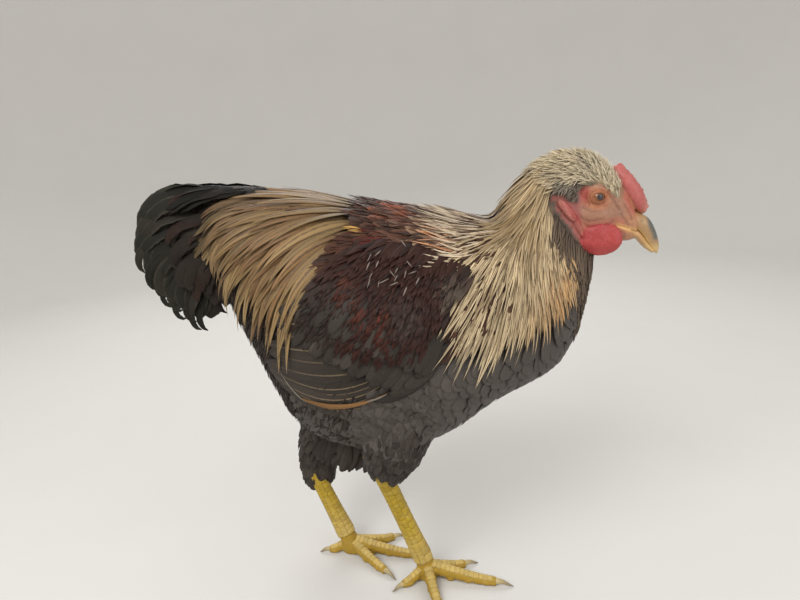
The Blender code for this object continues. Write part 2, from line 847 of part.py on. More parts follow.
def wedge_cut(start, end, half_height, deep):
    """A long thin cutter across the whole head, from the gape to the bill."""
    start = np.array((start[0], 0.0, start[1]))
    end = np.array((end[0], 0.0, end[1]))
    up = unit(np.array((-(end - start)[2], 0.0, (end - start)[0]))) * half_height
    wide = np.array((0.0, deep, 0.0))
    points = []
    for spot, scale in ((start, 0.15), (end, 1.0)):
        for y in (-1, 1):
            for z in (-1, 1):
                points.append(spot + wide * y + up * z * scale)
    faces = [(0, 1, 3, 2), (4, 6, 7, 5), (0, 4, 5, 1), (2, 3, 7, 6), (0, 2, 6, 4), (1, 5, 7, 3)]
    return outward(points, faces)


def material(name, colour, roughness):
    made = bpy.data.materials.new(name)
    made.use_nodes = True
    shader = made.node_tree.nodes["Principled BSDF"]
    shader.inputs["Base Color"].default_value = (*colour, 1.0)
    shader.inputs["Roughness"].default_value = roughness
    made.diffuse_color = (*colour, 1.0)
    return made


def add_object(name, mesh, collection):
    points, faces = mesh
    data = bpy.data.meshes.new(name)
    data.from_pydata([tuple(p) for p in points], [], [tuple(f) for f in faces])
    made = bpy.data.objects.new(name, data)
    collection.objects.link(made)
    return made


def combine(target, others, operation, solver="EXACT"):
    """Joins the target with all the others, or cuts them all away from it, at once."""
    if not others:
        return
    tools = bpy.data.collections.new(target.name + "_tools")
    bpy.context.scene.collection.children.link(tools)
    for k, mesh in enumerate(others):
        add_object(f"{target.name}_tool_{k}", mesh, tools)
    step = target.modifiers.new(operation.title(), "BOOLEAN")
    step.operation = operation
    step.operand_type = "COLLECTION"
    step.collection = tools
    step.solver = solver
    graph = bpy.context.evaluated_depsgraph_get()
    data = bpy.data.meshes.new_from_object(target.evaluated_get(graph))
    target.modifiers.clear()
    target.data = data
    for tool in list(tools.objects):
        bpy.data.objects.remove(tool)
    bpy.data.collections.remove(tools)
    keep_largest(target)


def keep_largest(target):
    """Leaves only the closed surface with the most volume."""
    shape = bmesh.new()
    shape.from_mesh(target.data)
    bmesh.ops.triangulate(shape, faces=shape.faces[:])
    shape.faces.ensure_lookup_table()
    seen = set()
    best = []
    most = -1.0
    for face in shape.faces:
        if face.index in seen:
            continue
        stack = [face]
        seen.add(face.index)
        piece = []
        volume = 0.0
        while stack:
            one = stack.pop()
            piece.append(one)
            a, b, c = (v.co for v in one.verts)
            volume += a.dot(b.cross(c))
            for edge in one.edges:
                for other in edge.link_faces:
                    if other.index not in seen:
                        seen.add(other.index)
                        stack.append(other)
        if volume > most:
            most = volume
            best = piece
    keep = {face.index for face in best}
    bmesh.ops.delete(shape, geom=[f for f in shape.faces if f.index not in keep], context="FACES")
    shape.to_mesh(target.data)
    shape.free()


def node(name, mesh, look, joined=(), cut=(), solver="EXACT"):
    """One named solid: the mesh, with others joined on and others cut away."""
    made = add_object(name, mesh, bpy.context.scene.collection)
    combine(made, list(joined), "UNION", solver)
    combine(made, list(cut), "DIFFERENCE", solver)
    made.data.materials.clear()
    made.data.materials.append(look)
    for face in made.data.polygons:
        face.material_index = 0
        face.use_smooth = True
    return made


def clear_scene():
    for thing in list(bpy.data.objects):
        bpy.data.objects.remove(thing, do_unlink=True)


def build_trunk(looks, chance, wing_meshes):
    """Torso, rump with its saddle, neck with its hackle, and tail."""
    bare = Cover(tube(body_rings("rump end", "bill root", sides=64, steps=8)))
    long_rows = curve_through([TAIL_SLICE, *BODY.values()], 8)
    long_rings = [[body_spot(row, 2 * math.pi * s / 64) for s in range(64)] for row in long_rows]
    long_body = Cover(tube(long_rings))
    over_wings = Cover(tube(long_rings), *wing_meshes)
    torso = tube(body_rings("saddle front", "breast", seams=(1, 1)))
    rump = tube(body_rings("rump end", "saddle front", seams=(1, 1)))
    neck = tube(body_rings("breast", "nape", seams=(1, 1)))
    node("torso", torso, looks["coat_dark"])
    hackles = feather_rows(HACKLE_TIERS, bare, hackle_flow, HACKLE_SLOPE, chance)
    chest = tube(body_rings("rump end", "breast", grow=1.3 * SEAM))
    node("neck", neck, looks["straw"], joined=hackles, cut=[chest])
    saddles = feather_rows(SADDLE_TIERS, long_body, saddle_flow, SADDLE_SLOPE, chance, over_wings)
    node("rump", rump, looks["straw"], joined=saddles)
    node("tail", tail_stub(), looks["coat_dark"], joined=tail_feathers())


def build_head(looks, chance):
    """Head with lids and mouth line, eyes, comb, bill, ear lobes and wattles."""
    head = tube(body_rings("nape", "bill root", seams=(1, 1)))
    grown = tube(body_rings("neck", "bill root", grow=1.7 * SEAM))
    lids = []
    sockets = []
    for side in (-1, 1):
        centre = np.array((EYE_CENTRE[0], side * EYE_CENTRE[1], EYE_CENTRE[2]))
        normal = unit((EYE_AHEAD, side, EYE_UP))
        lids.append(torus(centre + normal * LID_OUT, normal, LID_RADIUS, LID_THICK))
        sockets.append(ellipsoid(centre, (EYE_RADIUS + 1.8 * SEAM,) * 3, 16, 10))
    mouth = wedge_cut(GAPE, MOUTH_FRONT, MOUTH_HALF_HEIGHT, MOUTH_REACH)
    node("head", head, looks["face"], joined=lids, cut=sockets + [mouth])
    bills = [bill_half(UPPER_BILL, 1.9 * SEAM), bill_half(LOWER_BILL, 1.9 * SEAM)]
    for side, name in ((-1, "right"), (1, "left")):
        centre = (EYE_CENTRE[0], side * EYE_CENTRE[1], EYE_CENTRE[2])
        node(f"eye_{name}", ellipsoid(centre, (EYE_RADIUS,) * 3, 14, 8), looks["eye"])
        lobe = ellipsoid(
            (LOBE_CENTRE[0], side * LOBE_CENTRE[1], LOBE_CENTRE[2]), LOBE_SIZE, 14, 9, LOBE_TURN
        )
        node(f"earlobe_{name}", lobe, looks["red"], cut=[grown])
        points, faces = ellipsoid((0, 0, 0), WATTLE_SIZE, 18, 8)
        fold = WATTLE_FOLD * np.sin(points[:, 0] / 0.0021 + 0.6) * np.sign(points[:, 1])
        points[:, 1] += fold * (np.abs(points[:, 1]) > 0.0008)
        points = points + np.array((WATTLE_CENTRE[0], side * WATTLE_CENTRE[1], WATTLE_CENTRE[2]))
        node(f"wattle_{name}", outward(points, faces), looks["red"], cut=[grown, *bills])
    mound, bumps = comb_parts(chance)
    node("comb", mound, looks["red"], joined=bumps, cut=[grown, bills[0]], solver="MANIFOLD")
    nostrils = []
    for side in (-1, 1):
        centre = (NOSTRIL_CENTRE[0], side * NOSTRIL_CENTRE[1], NOSTRIL_CENTRE[2])
        nostrils.append(ellipsoid(centre, NOSTRIL_SIZE, 10, 6, NOSTRIL_TURN))
    node("beak_upper", bill_half(UPPER_BILL), looks["horn"], cut=nostrils)
    node("beak_lower", bill_half(LOWER_BILL), looks["horn"])


def build_legs(looks):
    """Thighs cut to the trunk, shanks cut to the thighs, feet and claws."""
    trunk = tube(body_rings("rump end", "cape", grow=1.5 * SEAM))
    for side in ("right", "left"):
        node(f"thigh_{side}", thigh(side), looks["coat_dark"], cut=[trunk])
        points, faces = thigh(side)
        middle = points.mean(axis=0)
        swollen = (middle + (points - middle) * (1 + 1.5 * SEAM / min(THIGHS[side].radii)), faces)
        node(f"shank_{side}", shank(side), looks["leg"], cut=[swollen, trunk])
        toes = [toe_mesh(side, toe) for toe in TOES[side]]
        node(f"foot_{side}", foot_stub(side), looks["leg"], joined=toes)
        for toe in TOES[side]:
            node(f"claw_{side}_{toe.name}", claw(side, toe), looks["claw"])


def build_wings(looks, cover):
    """Both folded wings; returns their meshes, which the saddle lies over."""
    meshes = []
    trunk = tube(body_rings("rump end", "bill root", grow=1.5 * SEAM))
    for side, name in ((-1, "right"), (1, "left")):
        plate = wing_plate(cover, side)
        vanes = wing_feathers(cover, side)
        made = node(f"wing_{name}", plate, looks["wing"], joined=vanes, cut=[trunk], solver="MANIFOLD")
        points = np.array([v.co[:] for v in made.data.vertices])
        faces = [tuple(p.vertices) for p in made.data.polygons]
        meshes.append((points, faces))
    return meshes


def settle():
    """Moves everything so that the middle of the underside of the whole is the origin."""
    bpy.context.view_layer.update()
    corners = []
    for thing in bpy.context.scene.objects:
        corners += [thing.matrix_world @ Vector(c) for c in thing.bound_box]
    corners = np.array(corners)
    low = corners.min(axis=0)
    high = corners.max(axis=0)
    shift = Vector((-(low[0] + high[0]) / 2, -(low[1] + high[1]) / 2, -low[2]))
    for thing in bpy.context.scene.objects:
        for vertex in thing.data.vertices:
            vertex.co += shift


def main():
    chance = random.Random(SEED)
    clear_scene()
    looks = {
        "coat_dark": material("coat_dark", (0.030, 0.028, 0.030), 0.75),
        "straw": material("straw", (0.42, 0.29, 0.14), 0.70),
        "wing": material("wing", (0.055, 0.030, 0.024), 0.65),
        "face": material("face", (0.48, 0.16, 0.11), 0.55),
        "red": material("red", (0.58, 0.035, 0.030), 0.45),
        "horn": material("horn", (0.52, 0.33, 0.12), 0.40),
        "eye": material("eye", (0.22, 0.07, 0.02), 0.10),
        "leg": material("leg", (0.68, 0.45, 0.06), 0.50),
        "claw": material("claw", (0.50, 0.42, 0.28), 0.40),
    }
    bare = Cover(tube(body_rings("rump end", "bill root", sides=64, steps=8)))
    wings = build_wings(looks, bare)
    build_trunk(looks, chance, wings)
    build_head(looks, chance)
    build_legs(looks)
    settle()


main()
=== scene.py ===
"""Standing wyandotte cockerel: one skin, layered plumage, fine head and legs, and a plain studio round it."""

import json
import logging
import math
from dataclasses import dataclass, field, replace
from enum import Enum
from typing import Callable, Iterable, NamedTuple, Sequence

import bpy
import numpy as np
from mathutils import Matrix, Vector, noise
from mathutils.bvhtree import BVHTree

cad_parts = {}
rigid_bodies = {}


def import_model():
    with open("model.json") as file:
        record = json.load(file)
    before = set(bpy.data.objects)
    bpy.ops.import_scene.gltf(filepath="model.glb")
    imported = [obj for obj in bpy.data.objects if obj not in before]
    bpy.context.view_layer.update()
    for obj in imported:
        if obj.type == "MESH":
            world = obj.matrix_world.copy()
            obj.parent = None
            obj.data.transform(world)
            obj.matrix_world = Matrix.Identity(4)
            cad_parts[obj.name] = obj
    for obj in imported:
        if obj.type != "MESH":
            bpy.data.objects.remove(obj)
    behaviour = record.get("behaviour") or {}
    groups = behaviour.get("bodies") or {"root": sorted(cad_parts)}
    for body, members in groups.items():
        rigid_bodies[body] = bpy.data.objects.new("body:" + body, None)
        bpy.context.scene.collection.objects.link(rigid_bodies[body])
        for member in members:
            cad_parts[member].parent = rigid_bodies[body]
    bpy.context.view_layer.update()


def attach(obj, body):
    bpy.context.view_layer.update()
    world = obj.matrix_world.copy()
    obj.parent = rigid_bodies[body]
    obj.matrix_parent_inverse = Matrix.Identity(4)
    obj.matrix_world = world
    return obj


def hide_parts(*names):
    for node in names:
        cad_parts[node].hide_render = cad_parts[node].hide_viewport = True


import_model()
LOG = logging.getLogger("cockerel")

Array = np.ndarray
Shell = tuple[Array, list[tuple[int, ...]]]
Flow = Callable[[Array], Array]
Edge = Sequence[tuple[float, float]]
Rgb = tuple[int, int, int]

SEED = 1210
# From the frame in which the bird was laid out to the shared frame of the part.
STANCE_SHIFT = np.array((-0.02368, 0.0, 0.0))
# Width of one feather's patch in the coat's unwrap.
PATCH = 0.003


class Side(Enum):
    """Side of the bird; the value is the sign of its sideways coordinate."""

    RIGHT = -1
    LEFT = 1

    @property
    def word(self) -> str:
        """The side's name in a node or piece name."""
        return self.name.lower()


class Tip(Enum):
    """Outline of a feather's end."""

    POINTED = "pointed"
    ROUNDED = "rounded"
    LOOSE = "loose"
    BLADE = "blade"


class Part(Enum):
    """Kind of skin on a face of the skin mesh; the value is its material index."""

    FLESH = 0
    UNDERCOAT = 1
    LEG = 2


def tone(red: int, green: int, blue: int) -> Array:
    """A display colour of 0 to 255 as linear light."""
    share = np.array((red, green, blue), float) / 255.0
    return np.where(share <= 0.04045, share / 12.92, ((share + 0.055) / 1.055) ** 2.4)


def unit(vectors: Array) -> Array:
    """Vectors along the last axis, scaled to length one."""
    vectors = np.asarray(vectors, float)
    return vectors / np.maximum(np.linalg.norm(vectors, axis=-1, keepdims=True), 1e-12)


def ramp(value: Array, low: float, high: float) -> Array:
    """A smooth step of the value from 0 at low to 1 at high."""
    share = np.clip((np.asarray(value, float) - low) / (high - low), 0.0, 1.0)
    return share * share * (3.0 - 2.0 * share)


def mix(first: Array, second: Array, share: Array) -> Array:
    """The two colours or vectors, mixed by a share for each row."""
    share = np.asarray(share, float)[..., None]
    return first * (1.0 - share) + second * share


def curve_through(rows: Sequence[Sequence[float]], per_gap: int) -> Array:
    """Points of a smooth curve through the rows.

    Args:
        rows: The values that the curve passes through, in order.
        per_gap: Steps between two rows.

    Returns:
        One row of values for each step.
    """
    rows = np.asarray(rows, float)
    last = len(rows) - 1
    step = np.arange(last * per_gap + 1) / per_gap
    low = np.minimum(step.astype(int), last - 1)
    u = (step - low)[:, None]
    a = rows[np.maximum(low - 1, 0)]
    b = rows[low]
    c = rows[low + 1]
    d = rows[np.minimum(low + 2, last)]
    bend = 2 * b + (c - a) * u + (2 * a - 5 * b + 4 * c - d) * u * u
    return 0.5 * (bend + (3 * b - a - 3 * c + d) * u**3)


def tube(rings: Array) -> Shell:
    """A closed mesh through rings of equally many points.

    Args:
        rings: Points of each ring, as rings by sides by three.

    Returns:
        The points and faces of the closed tube.
    """
    count, sides, _ = rings.shape
    faces = []
    for r in range(count - 1):
        for k in range(sides):
            n = (k + 1) % sides
            faces.append((r * sides + k, (r + 1) * sides + k, (r + 1) * sides + n, r * sides + n))
    faces.append(tuple(range(sides)))
    faces.append(tuple((count - 1) * sides + k for k in reversed(range(sides))))
    return faced_out(rings.reshape(-1, 3), faces)


def faced_out(points: Array, faces: list[tuple[int, ...]]) -> Shell:
    """The closed mesh with its faces turned outward."""
    volume = 0.0
    for face in faces:
        for k in range(1, len(face) - 1):
            volume += float(np.dot(points[face[0]], np.cross(points[face[k]], points[face[k + 1]])))
    if volume < 0:
        faces = [tuple(reversed(face)) for face in faces]
    return points, faces


def limb(path: Array, radii: Array, sides: int, shape: Callable[[int, Array], Array] | None = None) -> Shell:
    """A closed round mesh along a path.

    Args:
        path: Points along the middle.
        radii: Radius at each point.
        sides: Points of each ring.
        shape: Gives a factor on the radius for a step and the angles round the path.

    Returns:
        The points and faces.
    """
    path = np.asarray(path, float)
    angles = 2 * math.pi * np.arange(sides) / sides
    rings = []
    for k, spot in enumerate(path):
        ahead = unit(path[min(k + 1, len(path) - 1)] - path[max(k - 1, 0)])
        guide = np.array((0.0, 0.0, 1.0)) if abs(ahead[2]) < 0.8 else np.array((1.0, 0.0, 0.0))
        across = unit(np.cross(guide, ahead))
        over = np.cross(ahead, across)
        reach = radii[k] * (shape(k, angles) if shape else np.ones(sides))
        rings.append(spot + across * (np.cos(angles) * reach)[:, None] + over * (np.sin(angles) * reach)[:, None])
    return tube(np.array(rings))


def ball(
    centre: Sequence[float], size: Sequence[float], turn: float = 0.0, sides: int = 28, rings: int = 16
) -> Shell:
    """A closed ball of three half sizes.

    Args:
        centre: Its middle.
        size: Its three half sizes.
        turn: Degrees by which its front is tipped down about the sideways axis.
        sides: Points round it.
        rings: Steps from pole to pole.

    Returns:
        The points and faces.
    """
    polar = math.pi * (np.arange(rings) + 0.5) / rings
    angles = 2 * math.pi * np.arange(sides) / sides
    grid = np.stack(
        (
            np.outer(np.sin(polar), np.cos(angles)), np.outer(np.sin(polar), np.sin(angles)),
            np.outer(np.cos(polar), np.ones(sides))
        ),
        axis=-1
    )
    points, faces = tube(grid)
    return tipped(points * np.asarray(size, float), turn) + np.asarray(centre, float), faces


def tipped(points: Array, degrees: float) -> Array:
    """The points turned about the sideways axis, so that +X tips down by the degrees."""
    cos = math.cos(math.radians(degrees))
    sin = math.sin(math.radians(degrees))
    x = points[..., 0] * cos + points[..., 2] * sin
    z = points[..., 2] * cos - points[..., 0] * sin
    return np.stack((x, points[..., 1], z), axis=-1)


class Section(NamedTuple):
    """One slice of the body: its top and low points seen from the side, half its width and the coat's depth."""

    top_x: float
    top_z: float
    low_x: float
    low_z: float
    half_width: float
    coat: float


@dataclass(frozen=True)
class Trunk:
    """The bird's body, neck and head as slices, from the rump to the root of the bill."""

    sections: tuple[Section, ...] = (
        Section(-0.111, 0.316, -0.1, 0.252, 0.025, 0.007),
        Section(-0.095, 0.3235, -0.093, 0.228, 0.039, 0.0085),
        Section(-0.07, 0.3255, -0.078, 0.192, 0.052, 0.0095),
        Section(-0.04, 0.3238, -0.058, 0.147, 0.063, 0.0095),
        Section(-0.008, 0.3188, -0.03, 0.127, 0.071, 0.009),
        Section(0.025, 0.3112, 0.01, 0.121, 0.074, 0.0085),
        Section(0.06, 0.3034, 0.056, 0.131, 0.072, 0.008),
        Section(0.086, 0.2975, 0.097, 0.158, 0.065, 0.0075),
        Section(0.0965, 0.2962, 0.14, 0.179, 0.0545, 0.0065),
        Section(0.1015, 0.3, 0.158, 0.204, 0.0435, 0.0055),
        Section(0.1085, 0.3105, 0.1668, 0.233, 0.033, 0.005),
        Section(0.123, 0.3265, 0.1722, 0.256, 0.0245, 0.0045),
        Section(0.139, 0.3375, 0.1768, 0.267, 0.0205, 0.004),
        Section(0.157, 0.341, 0.182, 0.2715, 0.0185, 0.0032),
        Section(0.175, 0.336, 0.19, 0.2725, 0.016, 0.0016),
        Section(0.188, 0.322, 0.197, 0.273, 0.0125, 0.0004),
        Section(0.201, 0.2985, 0.2035, 0.275, 0.008, 0.0)
    )
    exponent: float = 2.25
    fine: int = 12

    def rows(self) -> Array:
        """The slices, finely interpolated."""
        return curve_through(self.sections, self.fine)

    def spot(self, place: Array, degrees: Array, grow: Array | float = 0.0) -> Array:
        """Points of the body's surface.

        Args:
            place: Position along the body, counted in slices from the rump.
            degrees: Angle from the top over the right side.
            grow: Distance by which the slice is grown.

        Returns:
            One point for each place.
        """
        rows = self.rows()
        place = np.clip(np.asarray(place, float) * self.fine, 0, len(rows) - 1)
        low = np.minimum(place.astype(int), len(rows) - 2)
        row = mix(rows[low], rows[low + 1], place - low)
        return self.of_row(row, np.radians(degrees), grow)

    def of_row(self, row: Array, angle: Array, grow: Array | float = 0.0) -> Array:
        """Points of given slices at given angles."""
        top = row[..., 0:2]
        low = row[..., 2:4]
        half = 0.5 * np.linalg.norm(top - low, axis=-1) + grow
        along = unit(top - low)
        power = 2 / self.exponent
        side = np.sign(np.sin(angle)) * np.abs(np.sin(angle)) ** power * (row[..., 4] + grow)
        rise = np.sign(np.cos(angle)) * np.abs(np.cos(angle)) ** power * half
        spot = 0.5 * (top + low) + along * rise[..., None]
        return np.stack((spot[..., 0], -side, spot[..., 1]), axis=-1)

    def shell(self, first: int, last: int, sides: int, inset: float, dive: tuple[float, float] = (0.0, 0.0)) -> Shell:
        """The closed body between two slices.

        Args:
            first: First slice.
            last: Last slice.
            sides: Points round the body.
            inset: Share of the coat's depth by which the surface lies inward.
            dive: Further depth at the first and the last slice, where the surface runs into another.

        Returns:
            The points and faces.
        """
        rows = self.rows()[first * self.fine : last * self.fine + 1 : 3]
        place = np.linspace(first, last, len(rows))
        depth = inset * rows[:, 5] + dive[0] * (1.0 - ramp(place, first, first + 1.2))
        depth = depth + dive[1] * ramp(place, last - 1.2, last)
        angle = 2 * math.pi * np.arange(sides) / sides
        rings = [self.of_row(np.tile(row, (sides, 1)), angle, -deep) for row, deep in zip(rows, depth)]
        return tube(np.array(rings))


class Form:
    """A surface that feathers are laid on."""

    def __init__(self, data: bpy.types.Mesh) -> None:
        """Takes the surface from a mesh of quads."""
        count = len(data.vertices)
        points = np.empty(count * 3)
        data.vertices.foreach_get("co", points)
        self.points = points.reshape(-1, 3)
        normals = np.empty(count * 3)
        data.vertices.foreach_get("normal", normals)
        self.normals = normals.reshape(-1, 3)
        corners = np.empty(len(data.loops), int)
        data.loops.foreach_get("vertex_index", corners)
        self.faces = corners.reshape(-1, 4)
        self.tree = BVHTree.FromPolygons(self.points.tolist(), self.faces.tolist())

    def stick(self, spots: Array) -> tuple[Array, Array]:
        """The nearest places on the surface.

        Args:
            spots: Points near the surface.

        Returns:
            The places and their outward normals.
        """
        hits = [self.tree.find_nearest(spot) for spot in spots.tolist()]
        places = np.array([hit[0][:] for hit in hits])
        corners = self.faces[[hit[2] for hit in hits]]
        gaps = np.linalg.norm(self.points[corners] - places[:, None], axis=2)
        weight = (1.0 / (gaps + 1e-5))[..., None]
        return places, unit((self.normals[corners] * weight).sum(axis=1))

    def from_side(self, x: Array, z: Array, side: Side) -> tuple[Array, Array]:
        """The outer places at given x and z of one side, and their normals."""
        spots = []
        for one_x, one_z in zip(x.tolist(), z.tolist()):
            start = Vector((one_x, side.value * 0.3, one_z))
            hit = self.tree.ray_cast(start, Vector((0, -side.value, 0)))[0]
            spots.append(hit[:] if hit is not None else (one_x, side.value * 0.03, one_z))
        return self.stick(np.array(spots))

    def trace(self, roots: Array, flow: Flow, lengths: Array, steps: int, turns: Array) -> tuple[Array, Array]:
        """Paths that follow a flow over the surface.

        Args:
            roots: Where the paths start.
            flow: Gives the direction for points.
            lengths: Length of each path.
            steps: Steps in each path.
            turns: Angle in radians by which each path turns off the flow.

        Returns:
            Places and normals, as paths by steps by three.
        """
        place, normal = self.stick(roots)
        places = [place]
        normals = [normal]
        for _ in range(steps):
            way = flow(place)
            way = unit(way - normal * np.sum(way * normal, axis=1, keepdims=True))
            aside = np.cross(normal, way)
            way = way * np.cos(turns)[:, None] + aside * np.sin(turns)[:, None]
            place, fresh = self.stick(place + way * (lengths / steps)[:, None])
            normal = unit(fresh + normal * 0.6)
            places.append(place)
            normals.append(normal)
        return np.stack(places, axis=1), np.stack(normals, axis=1)




class Socket:
    """A shader value that takes part in ordinary arithmetic."""

    def __init__(self, look: "Look", link: bpy.types.NodeSocket) -> None:
        """Wraps an output socket."""
        self.look = look
        self.link = link

    def _maths(self, operation: str, *values: "Socket | float") -> "Socket":
        """A Math node on the values."""
        return self.look.node("ShaderNodeMath", {"operation": operation}, dict(enumerate(values)))

    def __add__(self, other: "Socket | float") -> "Socket":
        """Sum."""
        return self._maths("ADD", self, other)

    def __radd__(self, other: float) -> "Socket":
        """Sum, with the number first."""
        return self._maths("ADD", other, self)

    def __sub__(self, other: "Socket | float") -> "Socket":
        """Difference."""
        return self._maths("SUBTRACT", self, other)

    def __rsub__(self, other: float) -> "Socket":
        """Difference, with the number first."""
        return self._maths("SUBTRACT", other, self)

    def __mul__(self, other: "Socket | float") -> "Socket":
        """Product."""
        return self._maths("MULTIPLY", self, other)

    def __rmul__(self, other: float) -> "Socket":
        """Product, with the number first."""
        return self._maths("MULTIPLY", other, self)

    def __truediv__(self, other: "Socket | float") -> "Socket":
        """Quotient."""
        return self._maths("DIVIDE", self, other)

    def __rtruediv__(self, other: float) -> "Socket":
        """Quotient, with the number first."""
        return self._maths("DIVIDE", other, self)

    def __pow__(self, other: "Socket | float") -> "Socket":
        """Power."""
        return self._maths("POWER", self, other)

    def __abs__(self) -> "Socket":
        """Size without sign."""
        return self._maths("ABSOLUTE", self)

    def sine(self) -> "Socket":
        """Sine of the value."""
        return self._maths("SINE", self)

    def most(self, other: "Socket | float") -> "Socket":
        """The larger of two values."""
        return self._maths("MAXIMUM", self, other)

    def step(self, low: float, high: float) -> "Socket":
        """A smooth step from 0 at low to 1 at high."""
        return self.look.node(
            "ShaderNodeMapRange", {"interpolation_type": "SMOOTHSTEP"},
            {"Value": self, "From Min": low, "From Max": high, "To Min": 0.0, "To Max": 1.0}
        )


class Look:
    """A material under construction."""

    def __init__(self, name: str) -> None:
        """Starts a material with its main shader."""
        self.material = bpy.data.materials.new(name)
        self.material.use_nodes = True
        self.tree = self.material.node_tree
        self.shader = self.tree.nodes["Principled BSDF"]

    def node(
        self, kind: str, settings: dict[str, object] | None = None, sockets: dict[int | str, object] | None = None,
        output: int | str = 0
    ) -> Socket:
        """Adds a node.

        Args:
            kind: Type of the node.
            settings: Its properties; stops are the places and colours of a ramp.
            sockets: Values or links of its inputs.
            output: The output that is used.

        Returns:
            The wrapped output.
        """
        made = self.tree.nodes.new(kind)
        for key, value in (settings or {}).items():
            if key == "stops":
                self._set_stops(made.color_ramp, value)
            else:
                setattr(made, key, value)
        for key, value in (sockets or {}).items():
            self.feed(made.inputs[key], value)
        return Socket(self, made.outputs[output])

    @staticmethod
    def _set_stops(band: bpy.types.ColorRamp, stops: Sequence[tuple[float, Array]]) -> None:
        """Sets the places and colours of a ramp."""
        while len(band.elements) < len(stops):
            band.elements.new(1.0)
        for element, (place, colour) in zip(band.elements, stops):
            element.position = place
            element.color = (*colour, 1.0)

    def feed(self, target: bpy.types.NodeSocket, value: object) -> None:
        """Links or sets one input."""
        if isinstance(value, Socket):
            self.tree.links.new(value.link, target)
        elif isinstance(value, (int, float)):
            target.default_value = value
        else:
            numbers = [float(v) for v in value]
            wanted = len(target.default_value)
            target.default_value = numbers + [1.0] * (wanted - len(numbers))

    def attribute(self, name: str, output: str = "Vector") -> Socket:
        """A named mesh attribute."""
        return self.node("ShaderNodeAttribute", {"attribute_name": name}, {}, output)

    def parts(self, vector: Socket) -> tuple[Socket, Socket, Socket]:
        """The three numbers of a vector."""
        made = self.tree.nodes.new("ShaderNodeSeparateXYZ")
        self.feed(made.inputs[0], vector)
        return Socket(self, made.outputs[0]), Socket(self, made.outputs[1]), Socket(self, made.outputs[2])

    def blend(self, share: "Socket | float", first: object, second: object, way: str = "MIX") -> Socket:
        """A mix of two colours."""
        settings = {"data_type": "RGBA", "blend_type": way, "clamp_factor": True}
        return self.node("ShaderNodeMix", settings, {0: share, 6: first, 7: second}, 2)

    def scaled(self, colour: Socket, factor: "Socket | float") -> Socket:
        """A colour made lighter or darker by a factor."""
        return self.node("ShaderNodeVectorMath", {"operation": "SCALE"}, {0: colour, "Scale": factor})

    def noise(self, scale: float, detail: float = 3.0, stretch: Sequence[float] = (1, 1, 1)) -> Socket:
        """Cloudy noise over the object's own space."""
        spot = self.node("ShaderNodeTexCoord", {}, {}, "Object")
        if tuple(stretch) != (1, 1, 1):
            spot = self.node("ShaderNodeMapping", {}, {"Vector": spot, "Scale": stretch})
        return self.node("ShaderNodeTexNoise", {}, {"Vector": spot, "Scale": scale, "Detail": detail})

    def cells(self, scale: float, feature: str = "F1") -> Socket:
        """Distance in a pattern of cells over the object's own space."""
        spot = self.node("ShaderNodeTexCoord", {}, {}, "Object")
        return self.node("ShaderNodeTexVoronoi", {"feature": feature}, {"Vector": spot, "Scale": scale}, "Distance")

    def bump(self, height: Socket, strength: float, distance: float) -> None:
        """Lets a height change the shading of the surface."""
        made = self.node("ShaderNodeBump", {}, {"Height": height, "Strength": strength, "Distance": distance})
        self.feed(self.shader.inputs["Normal"], made)

    def close(self, colour: object, roughness: "Socket | float", **constants: float) -> bpy.types.Material:
        """Connects the surface's colour and roughness and sets its constants.

        Args:
            colour: Base colour or its link.
            roughness: Roughness or its link.
            constants: Other inputs of the shader, by name with spaces as underscores.

        Returns:
            The finished material.
        """
        self.feed(self.shader.inputs["Base Color"], colour)
        self.feed(self.shader.inputs["Roughness"], roughness)
        for key, value in constants.items():
            self.feed(self.shader.inputs[key.replace("_", " ")], value)
        return self.material


@dataclass(frozen=True)
class PlumageFinish:
    """Feather surface: streak or lacing over the ground colour, the shaft, and the barbs."""

    name: str
    roughness: float
    sheen: float
    barbs: tuple[float, float]
    barb_tone: float
    barb_height: float
    shaft: Array
    subtle: float = 0.22
    shine: float = 0.35

    def make(self) -> bpy.types.Material:
        """Builds the material.

        Returns:
            The material, which reads the mesh attributes vane, ground, mark and kind.
        """
        look = Look(self.name)
        across, along, own = look.parts(look.attribute("vane"))
        streak_width, lace, shaft = look.parts(look.attribute("kind"))
        side = abs(across)
        grain = look.noise(420.0, 2.0)
        rough_side = side + (grain - 0.5) * 0.35
        streak = (streak_width - rough_side).step(-0.1, 0.14) * (along * -1.0 + 1.05).step(0.02, 0.3)
        rim = side.most((along - 0.62) * 2.4)
        laced = (rim + (grain - 0.5) * 0.14).step(0.72, 0.9) * lace
        colour = look.blend(streak.most(laced), look.attribute("ground", "Color"), look.attribute("mark", "Color"))
        quill = (0.1 - side).step(0.0, 0.05) * shaft * (1.1 - along)
        colour = look.blend(quill, colour, self.shaft)
        row = along * self.barbs[0] - side * self.barbs[1] + own * 97.0
        barbs = look.node(
            "ShaderNodeTexNoise", {"noise_dimensions": "1D"}, {"W": row, "Scale": 1.0, "Detail": 3.0}
        ) - 0.5
        wisps = look.noise(1500.0, 2.0) - 0.5
        # Painted shade: each feather darkens towards its root, where the row above overlaps it, and lightens a little
        # towards its edges.
        depth = 0.74 + along.step(0.0, 0.75) * 0.26 + side * side * 0.1
        shade = depth + barbs * self.barb_tone + (own - 0.5) * self.subtle + wisps * 0.3
        colour = look.scaled(colour, shade)
        look.bump(barbs + wisps * 0.7 + quill, self.barb_height, 0.0004)
        gloss = self.roughness + (grain - 0.5) * 0.16
        return look.close(colour, gloss, Sheen_Weight=self.sheen, Sheen_Roughness=0.45, Specular_IOR_Level=self.shine)


